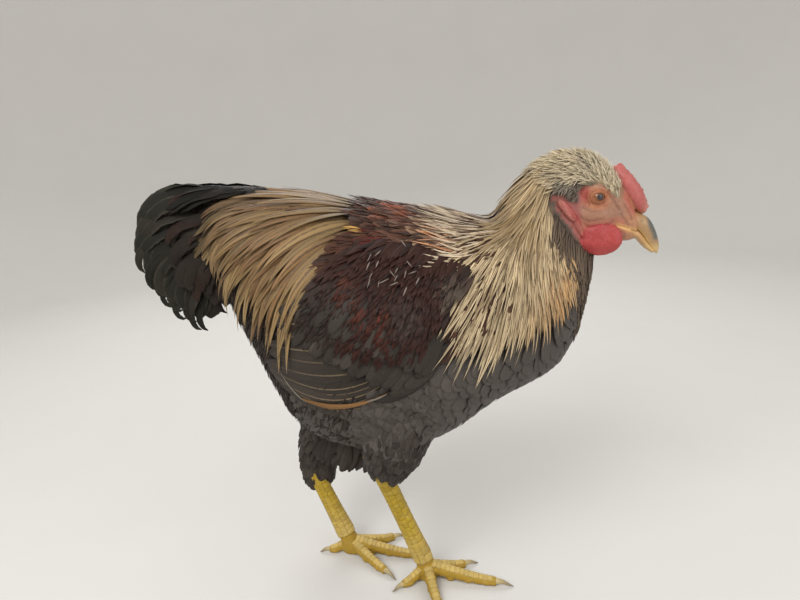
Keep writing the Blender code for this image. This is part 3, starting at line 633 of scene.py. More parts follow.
@dataclass(frozen=True)
class FleshFinish:
    """Bare skin: mottled, finely pebbled, and glossy in patches."""

    name: str
    roughness: float
    pebble: float
    depth: float
    glow: float

    def make(self) -> bpy.types.Material:
        """Builds the material.

        Returns:
            The material, which reads the mesh attribute ground.
        """
        look = Look(self.name)
        ground = look.attribute("ground", "Color")
        mottle = look.noise(160.0, 4.0)
        veins = look.noise(700.0, 3.0)
        pebbles = look.cells(self.pebble)
        colour = look.scaled(ground, 0.86 + mottle * 0.28)
        colour = look.blend((veins - 0.45).step(0.0, 0.3) * 0.18, colour, tone(150, 48, 38))
        colour = look.scaled(colour, 1.06 - pebbles * 0.22)
        look.bump(veins * 0.6 + mottle * 0.3 - pebbles * 0.5, self.depth, 0.0006)
        gloss = self.roughness + (mottle - 0.5) * 0.2
        return look.close(
            colour, gloss, Subsurface_Weight=self.glow, Subsurface_Scale=0.003, Subsurface_Radius=(1.0, 0.35, 0.25),
            Specular_IOR_Level=0.45
        )


@dataclass(frozen=True)
class ScaleFinish:
    """Horny skin of the legs: waxy scales with dirt in the joints between them."""

    name: str
    scale: float
    roughness: float

    def make(self) -> bpy.types.Material:
        """Builds the material.

        Returns:
            The material, which reads the mesh attribute ground.
        """
        look = Look(self.name)
        ground = look.attribute("ground", "Color")
        cells = look.cells(self.scale, "DISTANCE_TO_EDGE")
        dust = look.noise(260.0, 4.0)
        fine = look.noise(1800.0, 2.0)
        joint = 1.0 - cells.step(0.02, 0.16)
        colour = look.blend(joint * 0.22, ground, tone(132, 100, 40))
        colour = look.blend((dust - 0.5).step(0.0, 0.2) * 0.16, colour, tone(190, 172, 124))
        colour = look.scaled(colour, 0.9 + fine * 0.2)
        look.bump(cells.step(0.0, 0.2) * 0.5 + fine * 0.3, 0.25, 0.0006)
        return look.close(colour, self.roughness + dust * 0.2, Specular_IOR_Level=0.25)


@dataclass(frozen=True)
class HornFinish:
    """Bill and claws: translucent horn with growth lines along it."""

    name: str
    roughness: float

    def make(self) -> bpy.types.Material:
        """Builds the material.

        Returns:
            The material, which reads the mesh attribute ground.
        """
        look = Look(self.name)
        ground = look.attribute("ground", "Color")
        lines = look.noise(340.0, 4.0, (0.35, 1.0, 1.0))
        fine = look.noise(1600.0, 2.0)
        colour = look.scaled(ground, 0.82 + lines * 0.36)
        look.bump(lines + fine * 0.2, 0.25, 0.0004)
        return look.close(
            colour, self.roughness + (fine - 0.5) * 0.12, Coat_Weight=0.15, Coat_Roughness=0.2, Specular_IOR_Level=0.5
        )


@dataclass(frozen=True)
class EyeFinish:
    """Wet eye with a brown iris and a dark pupil."""

    name: str

    def make(self) -> bpy.types.Material:
        """Builds the material.

        Returns:
            The material, which reads the mesh attribute vane: angle from the gaze, and angle round it.
        """
        look = Look(self.name)
        polar, turn, _ = look.parts(look.attribute("vane"))
        rays = (turn * 46.0).sine() * 0.5 + look.noise(900.0, 3.0)
        # The pupil's bluish grey centre, lighter than its rim, is a painted reflection.
        band = look.node(
            "ShaderNodeValToRGB",
            {
                "stops": (
                    (0.0, tone(58, 56, 70)), (0.3, tone(40, 36, 44)), (0.36, tone(84, 54, 32)),
                    (0.62, tone(140, 92, 52)), (0.86, tone(104, 62, 38)), (1.0, tone(30, 20, 16))
                )
            },
            {"Fac": polar}
        )
        colour = look.scaled(band, 0.8 + rays * 0.25)
        return look.close(colour, 0.14, Coat_Weight=0.35, Coat_Roughness=0.03, Specular_IOR_Level=0.3)


@dataclass(frozen=True)
class StudioFinish:
    """Plain pale studio surface."""

    name: str
    colour: Array

    def make(self) -> bpy.types.Material:
        """Builds the material."""
        look = Look(self.name)
        return look.close(look.scaled(look.blend(0.0, self.colour, self.colour), 0.98 + look.noise(9.0) * 0.04), 0.85)


class Studio:
    """Shared finishes and the making of mesh objects."""

    def __init__(self) -> None:
        """Starts with no finishes made."""
        self._made: dict[str, bpy.types.Material] = {}

    def finish(self, wanted: object) -> bpy.types.Material:
        """The material of a finish, made once."""
        if wanted.name not in self._made:
            self._made[wanted.name] = wanted.make()
        return self._made[wanted.name]

    def scratch(self, shells: Iterable[Shell]) -> bpy.types.Object:
        """One unshown object that holds several closed meshes, in the layout frame."""
        points: list[Array] = []
        faces: list[tuple[int, ...]] = []
        base = 0
        for shell_points, shell_faces in shells:
            points.append(shell_points)
            faces += [tuple(base + k for k in face) for face in shell_faces]
            base += len(shell_points)
        data = bpy.data.meshes.new("scratch")
        data.from_pydata(np.concatenate(points).tolist(), [], faces)
        made = bpy.data.objects.new("scratch", data)
        bpy.context.scene.collection.objects.link(made)
        return made

    @staticmethod
    def settled(made: bpy.types.Object) -> bpy.types.Mesh:
        """The object's mesh with its modifiers applied; the object is removed."""
        graph = bpy.context.evaluated_depsgraph_get()
        data = bpy.data.meshes.new_from_object(made.evaluated_get(graph))
        bpy.data.objects.remove(made)
        return data

    def fused(self, shells: Iterable[Shell], voxel: float, smoothing: int) -> bpy.types.Mesh:
        """Closed meshes melted into one.

        Args:
            shells: The meshes.
            voxel: Grain of the fused surface.
            smoothing: Rounds of smoothing.

        Returns:
            The fused mesh of quads.
        """
        made = self.scratch(shells)
        melt = made.modifiers.new("melt", "REMESH")
        melt.mode = "VOXEL"
        melt.voxel_size = voxel
        soften = made.modifiers.new("soften", "SMOOTH")
        soften.factor = 0.5
        soften.iterations = smoothing
        return self.settled(made)

    def joined(self, meshes: Sequence[bpy.types.Mesh], operation: str) -> bpy.types.Mesh:
        """Closed meshes joined to the first, or cut away from it.

        Args:
            meshes: The meshes; the first is the one that is kept.
            operation: UNION or DIFFERENCE.

        Returns:
            The result.
        """
        group = bpy.data.collections.new("joined")
        bpy.context.scene.collection.children.link(group)
        for data in meshes[1:]:
            group.objects.link(bpy.data.objects.new("tool", data))
        body = bpy.data.objects.new("body", meshes[0])
        bpy.context.scene.collection.objects.link(body)
        step = body.modifiers.new("join", "BOOLEAN")
        step.operation = operation
        step.operand_type = "COLLECTION"
        step.collection = group
        step.solver = "MANIFOLD"
        data = self.settled(body)
        for tool in list(group.objects):
            bpy.data.objects.remove(tool)
        bpy.data.collections.remove(group)
        return data

    def place(self, name: str, data: bpy.types.Mesh, finishes: Sequence[object], slot: str) -> bpy.types.Object:
        """Puts a finished mesh in the scene as a piece of the bird.

        Args:
            name: Name of the piece.
            data: Its mesh, in the layout frame.
            finishes: Finish of each material index.
            slot: The record's material slot; not used.

        Returns:
            The piece, riding on the bird's body.
        """
        data.transform(Matrix.Translation(Vector(STANCE_SHIFT)))
        data.materials.clear()
        for wanted in finishes:
            data.materials.append(self.finish(wanted))
        made = bpy.data.objects.new(name, data)
        bpy.context.scene.collection.objects.link(made)
        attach(made, "root")
        LOG.info("%s: %d faces", name, len(data.polygons))
        return made

    def shell_mesh(
        self, name: str, shells: Iterable[Shell], grounds: Sequence[Array] | None = None
    ) -> bpy.types.Mesh:
        """A smooth mesh of several closed shells.

        Args:
            name: Name of the mesh.
            shells: Points and faces of each.
            grounds: Colours of the points of each shell.

        Returns:
            The mesh.
        """
        made = self.scratch(shells)
        data = made.data
        bpy.data.objects.remove(made)
        data.name = name
        data.polygons.foreach_set("use_smooth", np.ones(len(data.polygons), bool))
        if grounds is not None:
            paint(data, "ground", np.concatenate(grounds))
        return data


def paint(data: bpy.types.Mesh, name: str, values: Array) -> None:
    """Stores a colour, or a vector if it is the feather's own, for each point of a mesh."""
    if name in ("vane", "kind"):
        layer = data.attributes.new(name, "FLOAT_VECTOR", "POINT")
        layer.data.foreach_set("vector", np.asarray(values, np.float32).ravel())
        return
    layer = data.attributes.new(name, "FLOAT_COLOR", "POINT")
    full = np.ones((len(values), 4), np.float32)
    full[:, :3] = values
    layer.data.foreach_set("color", full.ravel())


def vertex_points(data: bpy.types.Mesh, kind: str = "co") -> Array:
    """Places or normals of a mesh's points."""
    out = np.empty(len(data.vertices) * 3)
    data.vertices.foreach_get(kind, out)
    return out.reshape(-1, 3)


def crumple(points: Array, scale: float, seed: float) -> Array:
    """Smooth noise between -1 and 1 at the points."""
    return np.array([noise.noise((x * scale + seed, y * scale, z * scale)) for x, y, z in points.tolist()])


@dataclass(frozen=True)
class Blush:
    """A soft patch of another colour on the coat, seen from the side."""

    x: float
    z: float
    reach: float
    ground: Rgb
    mark: Rgb
    amount: float = 1.0

    def share(self, spots: Array) -> Array:
        """How strongly the patch colours each place."""
        away = np.hypot(spots[:, 0] - self.x, spots[:, 2] - self.z)
        return self.amount * (1.0 - ramp(away, 0.35 * self.reach, self.reach))


@dataclass(frozen=True)
class Colouring:
    """Colours at a tract's start and end, widths of streak, lacing and shaft, strays, and patches."""

    ground: tuple[Rgb, Rgb]
    mark: tuple[Rgb, Rgb]
    kind: tuple[float, float, float]
    stray: tuple[float, Rgb] = (0.0, (0, 0, 0))
    blushes: tuple[Blush, ...] = ()
    vary: float = 0.26

    def at(self, spots: Array, share: Array, chance: np.random.Generator) -> tuple[Array, Array]:
        """Ground and mark colours of feathers.

        Args:
            spots: Places of the roots.
            share: How far along the tract each root is.
            chance: Source of the variation.

        Returns:
            Ground colours and mark colours.
        """
        count = len(spots)
        ground = mix(tone(*self.ground[0]), tone(*self.ground[1]), share)
        marks = mix(tone(*self.mark[0]), tone(*self.mark[1]), share)
        for blush in self.blushes:
            amount = np.clip(blush.share(spots) * (0.55 + 0.9 * chance.random(count)), 0.0, 1.0)
            ground = mix(ground, tone(*blush.ground), amount)
            marks = mix(marks, tone(*blush.mark), amount)
        ground = mix(ground, tone(*self.stray[1]), (chance.random(count) < self.stray[0]) * 0.8)
        tint = 1.0 + (chance.random((count, 1)) - 0.5) * self.vary
        return ground * tint, marks * tint


@dataclass(frozen=True)
class Style:
    """How the feathers of one tract are shaped, laid and coloured.

    The grid counts rows of points, steps of the path and columns; the lie is the root's depth and the tip's
    least and most lift.
    """

    name: str
    finish: PlumageFinish
    colouring: Colouring
    flow: Flow
    length: tuple[float, float]
    half_width: float
    tip: Tip
    grid: tuple[int, int, int]
    lie: tuple[float, float, float]
    camber: float = 0.25
    wander: float = 0.1
    ragged: float = 0.12
    roll: float = 0.12
    base: float = 0.0
    vary: float = 0.16


@dataclass
class Roots:
    """Where feathers grow: places, their places in the unwrap, and how far along the tract they are."""

    spots: Array
    patches: Array
    share: Array

    def chosen(self, keep: Array) -> "Roots":
        """The roots that are kept."""
        return Roots(self.spots[keep], self.patches[keep], self.share[keep])


@dataclass
class Plumes:
    """Feathers ready to be meshed, as arrays with one row each."""

    places: Array
    normals: Array
    stations: Array
    widths: Array
    lifts: Array
    rolls: Array
    ground: Array
    mark: Array
    kind: Array
    patches: Array


def outline(tip: Tip, stations: Array) -> Array:
    """Width of a feather at stations from root to tip, as a share of its widest."""
    if tip is Tip.POINTED:
        return np.minimum(1.0, 0.35 + 2.4 * stations) * (1.0 - 0.97 * np.clip((stations - 0.36) / 0.64, 0, 1) ** 1.45)
    if tip is Tip.ROUNDED:
        return np.minimum(1.0, 0.3 + 1.9 * stations) * np.sqrt(
            1.0 - 0.985 * np.clip((stations - 0.58) / 0.42, 0, 1) ** 2
        )
    if tip is Tip.LOOSE:
        return 1.0 - 0.92 * stations**1.4
    return np.minimum(1.0, 0.25 + 3.0 * stations) * (1.0 - 0.9 * np.clip((stations - 0.72) / 0.28, 0, 1) ** 2.2)


def stations_of(tip: Tip, rows: int) -> Array:
    """Where along a feather its rows of points lie; round ends get more of them."""
    even = np.linspace(0.0, 1.0, rows)
    if tip in (Tip.ROUNDED, Tip.BLADE):
        return 1.0 - (1.0 - even) ** 1.6
    return even


def resampled(values: Array, stations: Array) -> Array:
    """Values along paths at the stations, in straight lines between their steps."""
    steps = values.shape[1] - 1
    spot = stations * steps
    low = np.minimum(spot.astype(int), steps - 1)
    share = (spot - low)[None, :, None]
    return values[:, low] * (1.0 - share) + values[:, low + 1] * share


class Tracts:
    """Layouts of feather roots over the bird."""

    def __init__(self, trunk: Trunk, seed: int) -> None:
        """Takes the body's shape and a seed."""
        self.trunk = trunk
        self.chance = np.random.default_rng(seed)

    def on_trunk(
        self, places: tuple[float, float], angles: tuple[float, float, float, float], pitch: float, gap: float,
        jitter: float = 0.3
    ) -> Roots:
        """Staggered rows of roots on both sides of the trunk.

        Args:
            places: First and last slice of the tract.
            angles: Degrees from the top: first edge at its start and end, second edge at its start and end.
            pitch: Distance between rows.
            gap: Distance between roots in a row.
            jitter: Share of these distances by which roots stray.

        Returns:
            The roots.
        """
        fine = np.linspace(places[0], places[1], 120)
        share = (fine - places[0]) / (places[1] - places[0])
        middle = 0.5 * (angles[0] + angles[2]) * (1 - share) + 0.5 * (angles[1] + angles[3]) * share
        path = self.trunk.spot(fine, middle)
        travelled = np.concatenate(([0.0], np.cumsum(np.linalg.norm(np.diff(path, axis=0), axis=1))))
        rows = np.arange(0.5 * pitch, travelled[-1], pitch)
        spots = []
        patches = []
        along = []
        for number, distance in enumerate(rows):
            place = float(np.interp(distance, travelled, fine))
            t = (place - places[0]) / (places[1] - places[0])
            first = angles[0] * (1 - t) + angles[1] * t
            last = angles[2] * (1 - t) + angles[3] * t
            arc = np.linspace(first, last, 60)
            ring = self.trunk.spot(np.full(60, place), arc)
            reach = np.concatenate(([0.0], np.cumsum(np.linalg.norm(np.diff(ring, axis=0), axis=1))))
            count = int(reach[-1] / gap)
            if count < 1:
                continue
            for side in Side:
                at = (np.arange(count) + 0.25 + 0.5 * (number % 2)) * gap
                at = at + (self.chance.random(count) - 0.5) * 2 * jitter * gap
                degrees = np.interp(at, reach, arc) * -side.value
                shift = (self.chance.random(count) - 0.5) * 2 * jitter * pitch
                where = np.interp(distance + shift, travelled, fine)
                spots.append(self.trunk.spot(where, degrees))
                patches.append(np.column_stack((0.02 + 0.96 * where / 16.0, 0.35 + 0.66 * degrees / 360.0)))
                along.append((where - places[0]) / (places[1] - places[0]))
        return Roots(np.concatenate(spots), np.concatenate(patches), np.concatenate(along))

    def on_side(self, form: Form, side: Side, outline_rows: Array, pitch: float, gap: float) -> Roots:
        """Roots over a patch of one side that is drawn in the side view.

        Args:
            form: The surface.
            side: The side of the bird.
            outline_rows: x, upper edge and lower edge, from the front to the rear.
            pitch: Distance between rows.
            gap: Distance between roots in a row.

        Returns:
            The roots.
        """
        rows = curve_through(outline_rows, 8)
        xs = np.arange(rows[-1, 0], rows[0, 0], pitch)
        x_all = []
        z_all = []
        for number, x in enumerate(xs):
            top = float(np.interp(-x, -rows[:, 0], rows[:, 1]))
            low = float(np.interp(-x, -rows[:, 0], rows[:, 2]))
            z = np.arange(low + gap * 0.5 * (number % 2), top, gap)
            z = z + (self.chance.random(len(z)) - 0.5) * 0.6 * gap
            x_all.append(x + (self.chance.random(len(z)) - 0.5) * 0.6 * pitch)
            z_all.append(z)
        x = np.concatenate(x_all)
        z = np.concatenate(z_all)
        spots, _ = form.from_side(x, z, side)
        share = np.clip((rows[0, 0] - x) / (rows[0, 0] - rows[-1, 0]), 0, 1)
        corner = 0.52 if side is Side.RIGHT else 0.77
        patches = np.column_stack((corner + (x + 0.09) / 0.18 * 0.21, 0.74 + (z - 0.15) / 0.16 * 0.22))
        return Roots(spots, patches, share)

    def on_limb(self, path: Array, radii: Array, side: Side, pitch: float, gap: float) -> Roots:
        """Roots round a limb, from its upper to its lower end."""
        steps = np.linalg.norm(np.diff(path, axis=0), axis=1)
        travelled = np.concatenate(([0.0], np.cumsum(steps)))
        spots = []
        patches = []
        along = []
        corner = 0.02 if side is Side.RIGHT else 0.27
        for number, distance in enumerate(np.arange(0.0, travelled[-1], pitch)):
            middle = np.array([np.interp(distance, travelled, path[:, k]) for k in range(3)])
            ahead = unit(
                np.array([np.interp(distance + 0.002, travelled, path[:, k]) for k in range(3)]) - middle + 1e-9
            )
            if distance + 0.002 > travelled[-1]:
                ahead = unit(path[-1] - path[-2])
            radius = float(np.interp(distance, travelled, radii))
            across = unit(np.cross(ahead, (1.0, 0.0, 0.0)))
            over = np.cross(ahead, across)
            count = max(5, int(2 * math.pi * radius / gap))
            angle = 2 * math.pi * (np.arange(count) + 0.5 * (number % 2) + 0.4 * self.chance.random(count)) / count
            drift = (self.chance.random(count) - 0.5)[:, None] * pitch * ahead
            spots.append(middle + drift + radius * (np.cos(angle)[:, None] * across + np.sin(angle)[:, None] * over))
            share = distance / travelled[-1]
            patches.append(
                np.column_stack((corner + 0.22 * (angle / 6.2832 % 1.0), np.full(count, 0.74 + 0.22 * share)))
            )
            along.append(np.full(count, share))
        return Roots(np.concatenate(spots), np.concatenate(patches), np.concatenate(along))


class Coat:
    """Lays feathers on the bird's form and turns them into meshes."""

    def __init__(self, form: Form, studio: Studio, seed: int) -> None:
        """Takes the surface, the studio and a seed."""
        self.form = form
        self.studio = studio
        self.chance = np.random.default_rng(seed)

    def uncovered(self, roots: Roots, reach: float) -> Roots:
        """The roots that no other form lies over."""
        places, _ = self.form.stick(roots.spots)
        return roots.chosen(np.linalg.norm(places - roots.spots, axis=1) < reach)

    def laid(self, style: Style, roots: Roots) -> Plumes:
        """Lays one feather from each root along the style's flow.

        Args:
            style: Shape and colours of the feathers.
            roots: Where they grow.

        Returns:
            The feathers.
        """
        share = np.clip(roots.share, 0, 1)
        lengths = style.length[0] * (1 - share) + style.length[1] * share
        lengths = lengths * (1 + style.vary * (self.chance.random(len(share)) - 0.5) * 2)
        turns = self.chance.normal(0.0, style.wander, len(share))
        places, normals = self.form.trace(roots.spots, style.flow, lengths, style.grid[1], turns)
        return self.dressed(style, places, normals, roots, style.base)

    def dressed(self, style: Style, places: Array, normals: Array, roots: Roots, base: Array | float = 0.0) -> Plumes:
        """Gives feathers on known paths their widths, lifts and colours.

        Args:
            style: Shape and colours of the feathers.
            places: Points along each feather.
            normals: Outward directions there.
            roots: Where they grow.
            base: Height of each feather over its path.

        Returns:
            The feathers.
        """
        count = len(places)
        chance = self.chance
        stations = stations_of(style.tip, style.grid[0])
        top = chance.uniform(style.lie[1], style.lie[2], count)[:, None]
        lifts = top * stations**1.5 - style.lie[0] * (1.0 - stations) ** 1.15 + np.reshape(base, (-1, 1))
        widths = outline(style.tip, stations)[None, :] * style.half_width * (0.85 + 0.3 * chance.random((count, 1)))
        ground, mark = style.colouring.at(roots.spots, np.clip(roots.share, 0, 1), chance)
        kind = np.tile(style.colouring.kind, (count, 1))
        kind[:, 0] *= 0.7 + 0.6 * chance.random(count)
        kind[:, 2] *= 0.25 + 0.75 * chance.random(count)
        return Plumes(
            places=resampled(places, stations), normals=unit(resampled(normals, stations)), stations=stations,
            widths=widths, lifts=lifts, rolls=chance.normal(0.0, style.roll, count), ground=ground, mark=mark,
            kind=kind, patches=roots.patches
        )

    def mesh(self, name: str, plumes: Plumes, columns: int, camber: float, ragged: float) -> bpy.types.Mesh:
        """Closed thin vanes of the feathers, as one mesh.

        Args:
            name: Name of the mesh.
            plumes: The feathers.
            columns: Points across the outer face of a vane.
            camber: Height of the outer face over its edges, as a share of the half width.
            ragged: How unevenly the edges run.

        Returns:
            The mesh, with the attributes that the plumage finish reads and the coat's unwrap.
        """
        count, rows, _ = plumes.places.shape
        lateral = np.linspace(-1.0, 1.0, columns)
        ahead = unit(np.gradient(plumes.places, axis=1))
        level = unit(np.cross(plumes.normals, ahead))
        roll = plumes.rolls[:, None, None]
        across = level * np.cos(roll) + plumes.normals * np.sin(roll)
        over = unit(np.cross(ahead, across))
        centre = plumes.places + plumes.normals * plumes.lifts[..., None]
        tatter = 1.0 + ragged * (self.chance.random((count, rows, columns)) - 0.5) * 2.0
        reach = plumes.widths[..., None] * tatter * lateral
        rise = camber * plumes.widths[..., None] * (1.0 - lateral**2)
        points = centre[:, :, None] + across[:, :, None] * reach[..., None] + over[:, :, None] * rise[..., None]
        each = rows * columns
        faces = self._template(rows, columns)
        starts = np.arange(count)[:, None] * each
        corners = np.concatenate([np.asarray(face) for face in faces])
        loops = (starts + corners[None, :]).ravel()
        totals = np.tile([len(face) for face in faces], count)
        data = bpy.data.meshes.new(name)
        data.vertices.add(count * each)
        data.vertices.foreach_set("co", points.astype(np.float32).ravel())
        data.loops.add(len(loops))
        data.loops.foreach_set("vertex_index", loops.astype(np.int32))
        data.polygons.add(len(totals))
        data.polygons.foreach_set("loop_start", np.concatenate(([0], np.cumsum(totals)[:-1])).astype(np.int32))
        data.update(calc_edges=True)
        data.polygons.foreach_set("use_smooth", np.ones(len(totals), bool))
        self._sharpen(data, each, columns)
        own = self.chance.random(count)
        vane = np.empty((count, rows, columns, 3))
        vane[..., 0] = lateral
        vane[..., 1] = plumes.stations[None, :, None]
        vane[..., 2] = own[:, None, None]
        paint(data, "vane", vane.reshape(-1, 3))
        paint(data, "ground", np.repeat(plumes.ground, each, axis=0))
        paint(data, "mark", np.repeat(plumes.mark, each, axis=0))
        paint(data, "kind", np.repeat(plumes.kind, each, axis=0))
        patch = plumes.patches[:, None, None, :] + (vane[..., :2] * (0.5, 1.0) - (0.0, 0.5)) * PATCH
        layer = data.uv_layers.new(name="OFBake")
        layer.data.foreach_set("uv", patch.reshape(-1, 2)[loops].astype(np.float32).ravel())
        return data

    @staticmethod
    def _template(rows: int, columns: int) -> list[tuple[int, ...]]:
        """Faces of one vane: its outer face, its flat underside and its two ends."""
        faces = []
        last = columns - 1
        for r in range(rows - 1):
            a = r * columns
            b = a + columns
            faces += [(a + c, b + c, b + c + 1, a + c + 1) for c in range(last)]
            faces.append((a, a + last, b + last, b))
        faces.append(tuple(range(columns)))
        faces.append(tuple((rows - 1) * columns + c for c in reversed(range(columns))))
        return faces

    @staticmethod
    def _sharpen(data: bpy.types.Mesh, each: int, columns: int) -> None:
        """Keeps the shading of a vane's face apart from that of its underside."""
        ends = np.empty(len(data.edges) * 2, np.int32)
        data.edges.foreach_get("vertices", ends)
        ends = ends.reshape(-1, 2) % each
        column = ends % columns
        row = ends // columns
        rim = (column[:, 0] == column[:, 1]) & ((column[:, 0] == 0) | (column[:, 0] == columns - 1))
        sharp = rim & (row[:, 0] != row[:, 1])
        layer = data.attributes.new("sharp_edge", "BOOLEAN", "EDGE")
        layer.data.foreach_set("value", sharp)

    def cover(self, style: Style, roots: Roots, slot: str) -> bpy.types.Object:
        """Makes the piece of one style.

        Args:
            style: Shape and colours of the feathers.
            roots: Where they grow.
            slot: The record's material slot.

        Returns:
            The piece.
        """
        return self.piece(style, [self.laid(style, roots)], slot)

    def piece(self, style: Style, sets: Sequence[Plumes], slot: str) -> bpy.types.Object:
        """Makes one piece of several sets of feathers that share a style.

        Args:
            style: Shape and colours of the feathers.
            sets: The feathers.
            slot: The record's material slot.

        Returns:
            The piece.
        """
        joined = sets[0]
        if len(sets) > 1:
            joined = Plumes(
                stations=sets[0].stations,
                **{
                    key: np.concatenate([getattr(one, key) for one in sets]) for key in (
                        "places", "normals", "widths", "lifts", "rolls", "ground", "mark", "kind", "patches"
                    )
                }
            )
        data = self.mesh(style.name, joined, style.grid[2], style.camber, style.ragged)
        return self.studio.place(style.name, data, [style.finish], slot)


# Edge of the bare face in the side view, as x and z.
BARE_FACE = (
    (0.146, 0.3125), (0.1525, 0.306), (0.1585, 0.304), (0.1585, 0.313), (0.1612, 0.3162), (0.1731, 0.3178),
    (0.179, 0.315), (0.185, 0.308), (0.19, 0.3045), (0.1935, 0.313), (0.1945, 0.325), (0.215, 0.325),
    (0.215, 0.266), (0.18, 0.266), (0.17, 0.27), (0.159, 0.279), (0.149, 0.293), (0.1425, 0.302),
    (0.1405, 0.311)
)
# The dark feathered ear behind the face, above the lobe.
EAR = ((0.1435, 0.304), (0.143, 0.316), (0.149, 0.3215), (0.159, 0.32), (0.162, 0.31), (0.15, 0.305))


def inside(edge: Sequence[tuple[float, float]], x: Array, z: Array) -> Array:
    """Which places lie inside a closed outline in the side view.

    Args:
        edge: Corners of the outline.
        x: Places along the bird.
        z: Heights.

    Returns:
        True for each place inside.
    """
    within = np.zeros(len(x), bool)
    for (ax, az), (bx, bz) in zip(edge, edge[1:] + edge[:1]):
        crosses = (az > z) != (bz > z)
        limit = ax + (bx - ax) * (z - az) / ((bz - az) or 1e-9)
        within ^= crosses & (x < limit)
    return within


def near_line(points: Array, line: Sequence[tuple[float, float]]) -> Array:
    """Distance of points from a line of corners in the side view.

    Args:
        points: The points.
        line: Its corners as x and z.

    Returns:
        One distance for each point.
    """
    flat = points[:, (0, 2)]
    best = np.full(len(points), 1.0)
    for start, end in zip(line, line[1:]):
        a = np.asarray(start)
        way = np.asarray(end) - a
        t = np.clip((flat - a) @ way / (way @ way), 0, 1)
        best = np.minimum(best, np.linalg.norm(flat - a - t[:, None] * way, axis=1))
    return best


@dataclass
class Frame:
    """The bird's fleshy shapes under the coat, and the surface that the coat is laid on."""

    trunk: Trunk
    wing_centre: tuple[float, float] = (0.0, 0.238)
    wing_size: tuple[float, float] = (0.06, 0.052)
    wing_swell: float = 0.0085
    wing_depth: float = 0.0075
    thigh_depth: float = 0.004
    thigh_path: dict[Side, tuple] = field(
        default_factory=lambda: {
            Side.RIGHT: (
                (0.033, -0.038, 0.175), (0.024, -0.04, 0.15), (0.0145, -0.04, 0.127),
                (0.0095, -0.038, 0.108)
            ),
            Side.LEFT: (
                (-0.02, 0.038, 0.17), (-0.042, 0.041, 0.13), (-0.0575, 0.04, 0.09),
                (-0.0605, 0.035, 0.0605)
            )
        }
    )
    thigh_radii: dict[Side, tuple] = field(
        default_factory=lambda: {
            Side.RIGHT: (0.024, 0.025, 0.0222, 0.013), Side.LEFT: (0.025, 0.0245, 0.0195, 0.013)
        }
    )

    def thigh_line(self, side: Side) -> tuple[Array, Array]:
        """Fine points and radii along a thigh."""
        path = curve_through(self.thigh_path[side], 6)
        radii = curve_through([(r, 0.0) for r in self.thigh_radii[side]], 6)[:, 0]
        return path, radii

    def thigh(self, side: Side, depth: float) -> Shell:
        """A thigh, its surface inward by a depth."""
        path, radii = self.thigh_line(side)
        ahead = unit(path[-1] - path[-2])
        path = np.vstack((path, path[-1] + ahead * radii[-1] * 0.45))
        radii = np.append(radii, radii[-1] * 0.55)
        inward = depth * (1.0 + 1.2 * np.linspace(0, 1, len(radii)))
        return limb(path, np.maximum(radii - inward, 0.004), 24)

    def wing(self, side: Side, depth: float) -> Shell:
        """A folded wing's swelling over the body's side.

        Args:
            side: The side of the bird.
            depth: How far its surface lies inward.

        Returns:
            The points and faces.
        """
        shell_points, shell_faces = self.trunk.shell(0, 16, 72, 0.0)
        tree = BVHTree.FromPolygons(shell_points.tolist(), shell_faces)
        turn = 2 * math.pi * np.arange(48) / 48
        steps = np.linspace(0.03, 1.0, 12)
        rings = []
        for share, outer in [(s, False) for s in steps] + [(s, True) for s in steps[::-1]]:
            ring = []
            for angle in turn:
                x = self.wing_centre[0] + self.wing_size[0] * share * math.cos(angle)
                z = self.wing_centre[1] + self.wing_size[1] * share * math.sin(angle)
                hit = tree.ray_cast(Vector((x, side.value * 0.3, z)), Vector((0, -side.value, 0)))[0]
                level = abs(hit.y) if hit is not None else 0.04
                rise = self.wing_swell * (1.0 - share**2) - depth if outer else -0.012
                ring.append((x, side.value * (level + rise), z))
            rings.append(ring)
        return tube(np.array(rings))

    def tail_root(self, depth: float) -> Shell:
        """The root of the tail behind the rump."""
        path = [(-0.095, 0.0, 0.288), (-0.108, 0.0, 0.288), (-0.12, 0.0, 0.289), (-0.131, 0.0, 0.29)]
        radii = np.array((0.025, 0.0235, 0.019, 0.011)) - depth
        return limb(path, radii, 24, lambda step, angles: 1.0 + 0.16 * np.sin(angles) ** 2)

    def coat_form(self, studio: Studio) -> Form:
        """The surface that the outermost feathers lie on."""
        shells = [self.trunk.shell(0, 16, 72, 0.0), self.tail_root(0.0)]
        for side in Side:
            shells += [self.thigh(side, 0.0), self.wing(side, 0.0)]
        return Form(studio.fused(shells, 0.0022, 6))

    def core(self, studio: Studio) -> bpy.types.Mesh:
        """The body inside the coat."""
        shells = [self.trunk.shell(0, 13, 72, 1.0, (0.0, 0.0035)), self.tail_root(0.006)]
        for side in Side:
            shells += [self.thigh(side, self.thigh_depth), self.wing(side, self.wing_depth)]
        return studio.fused(shells, 0.0028, 3)


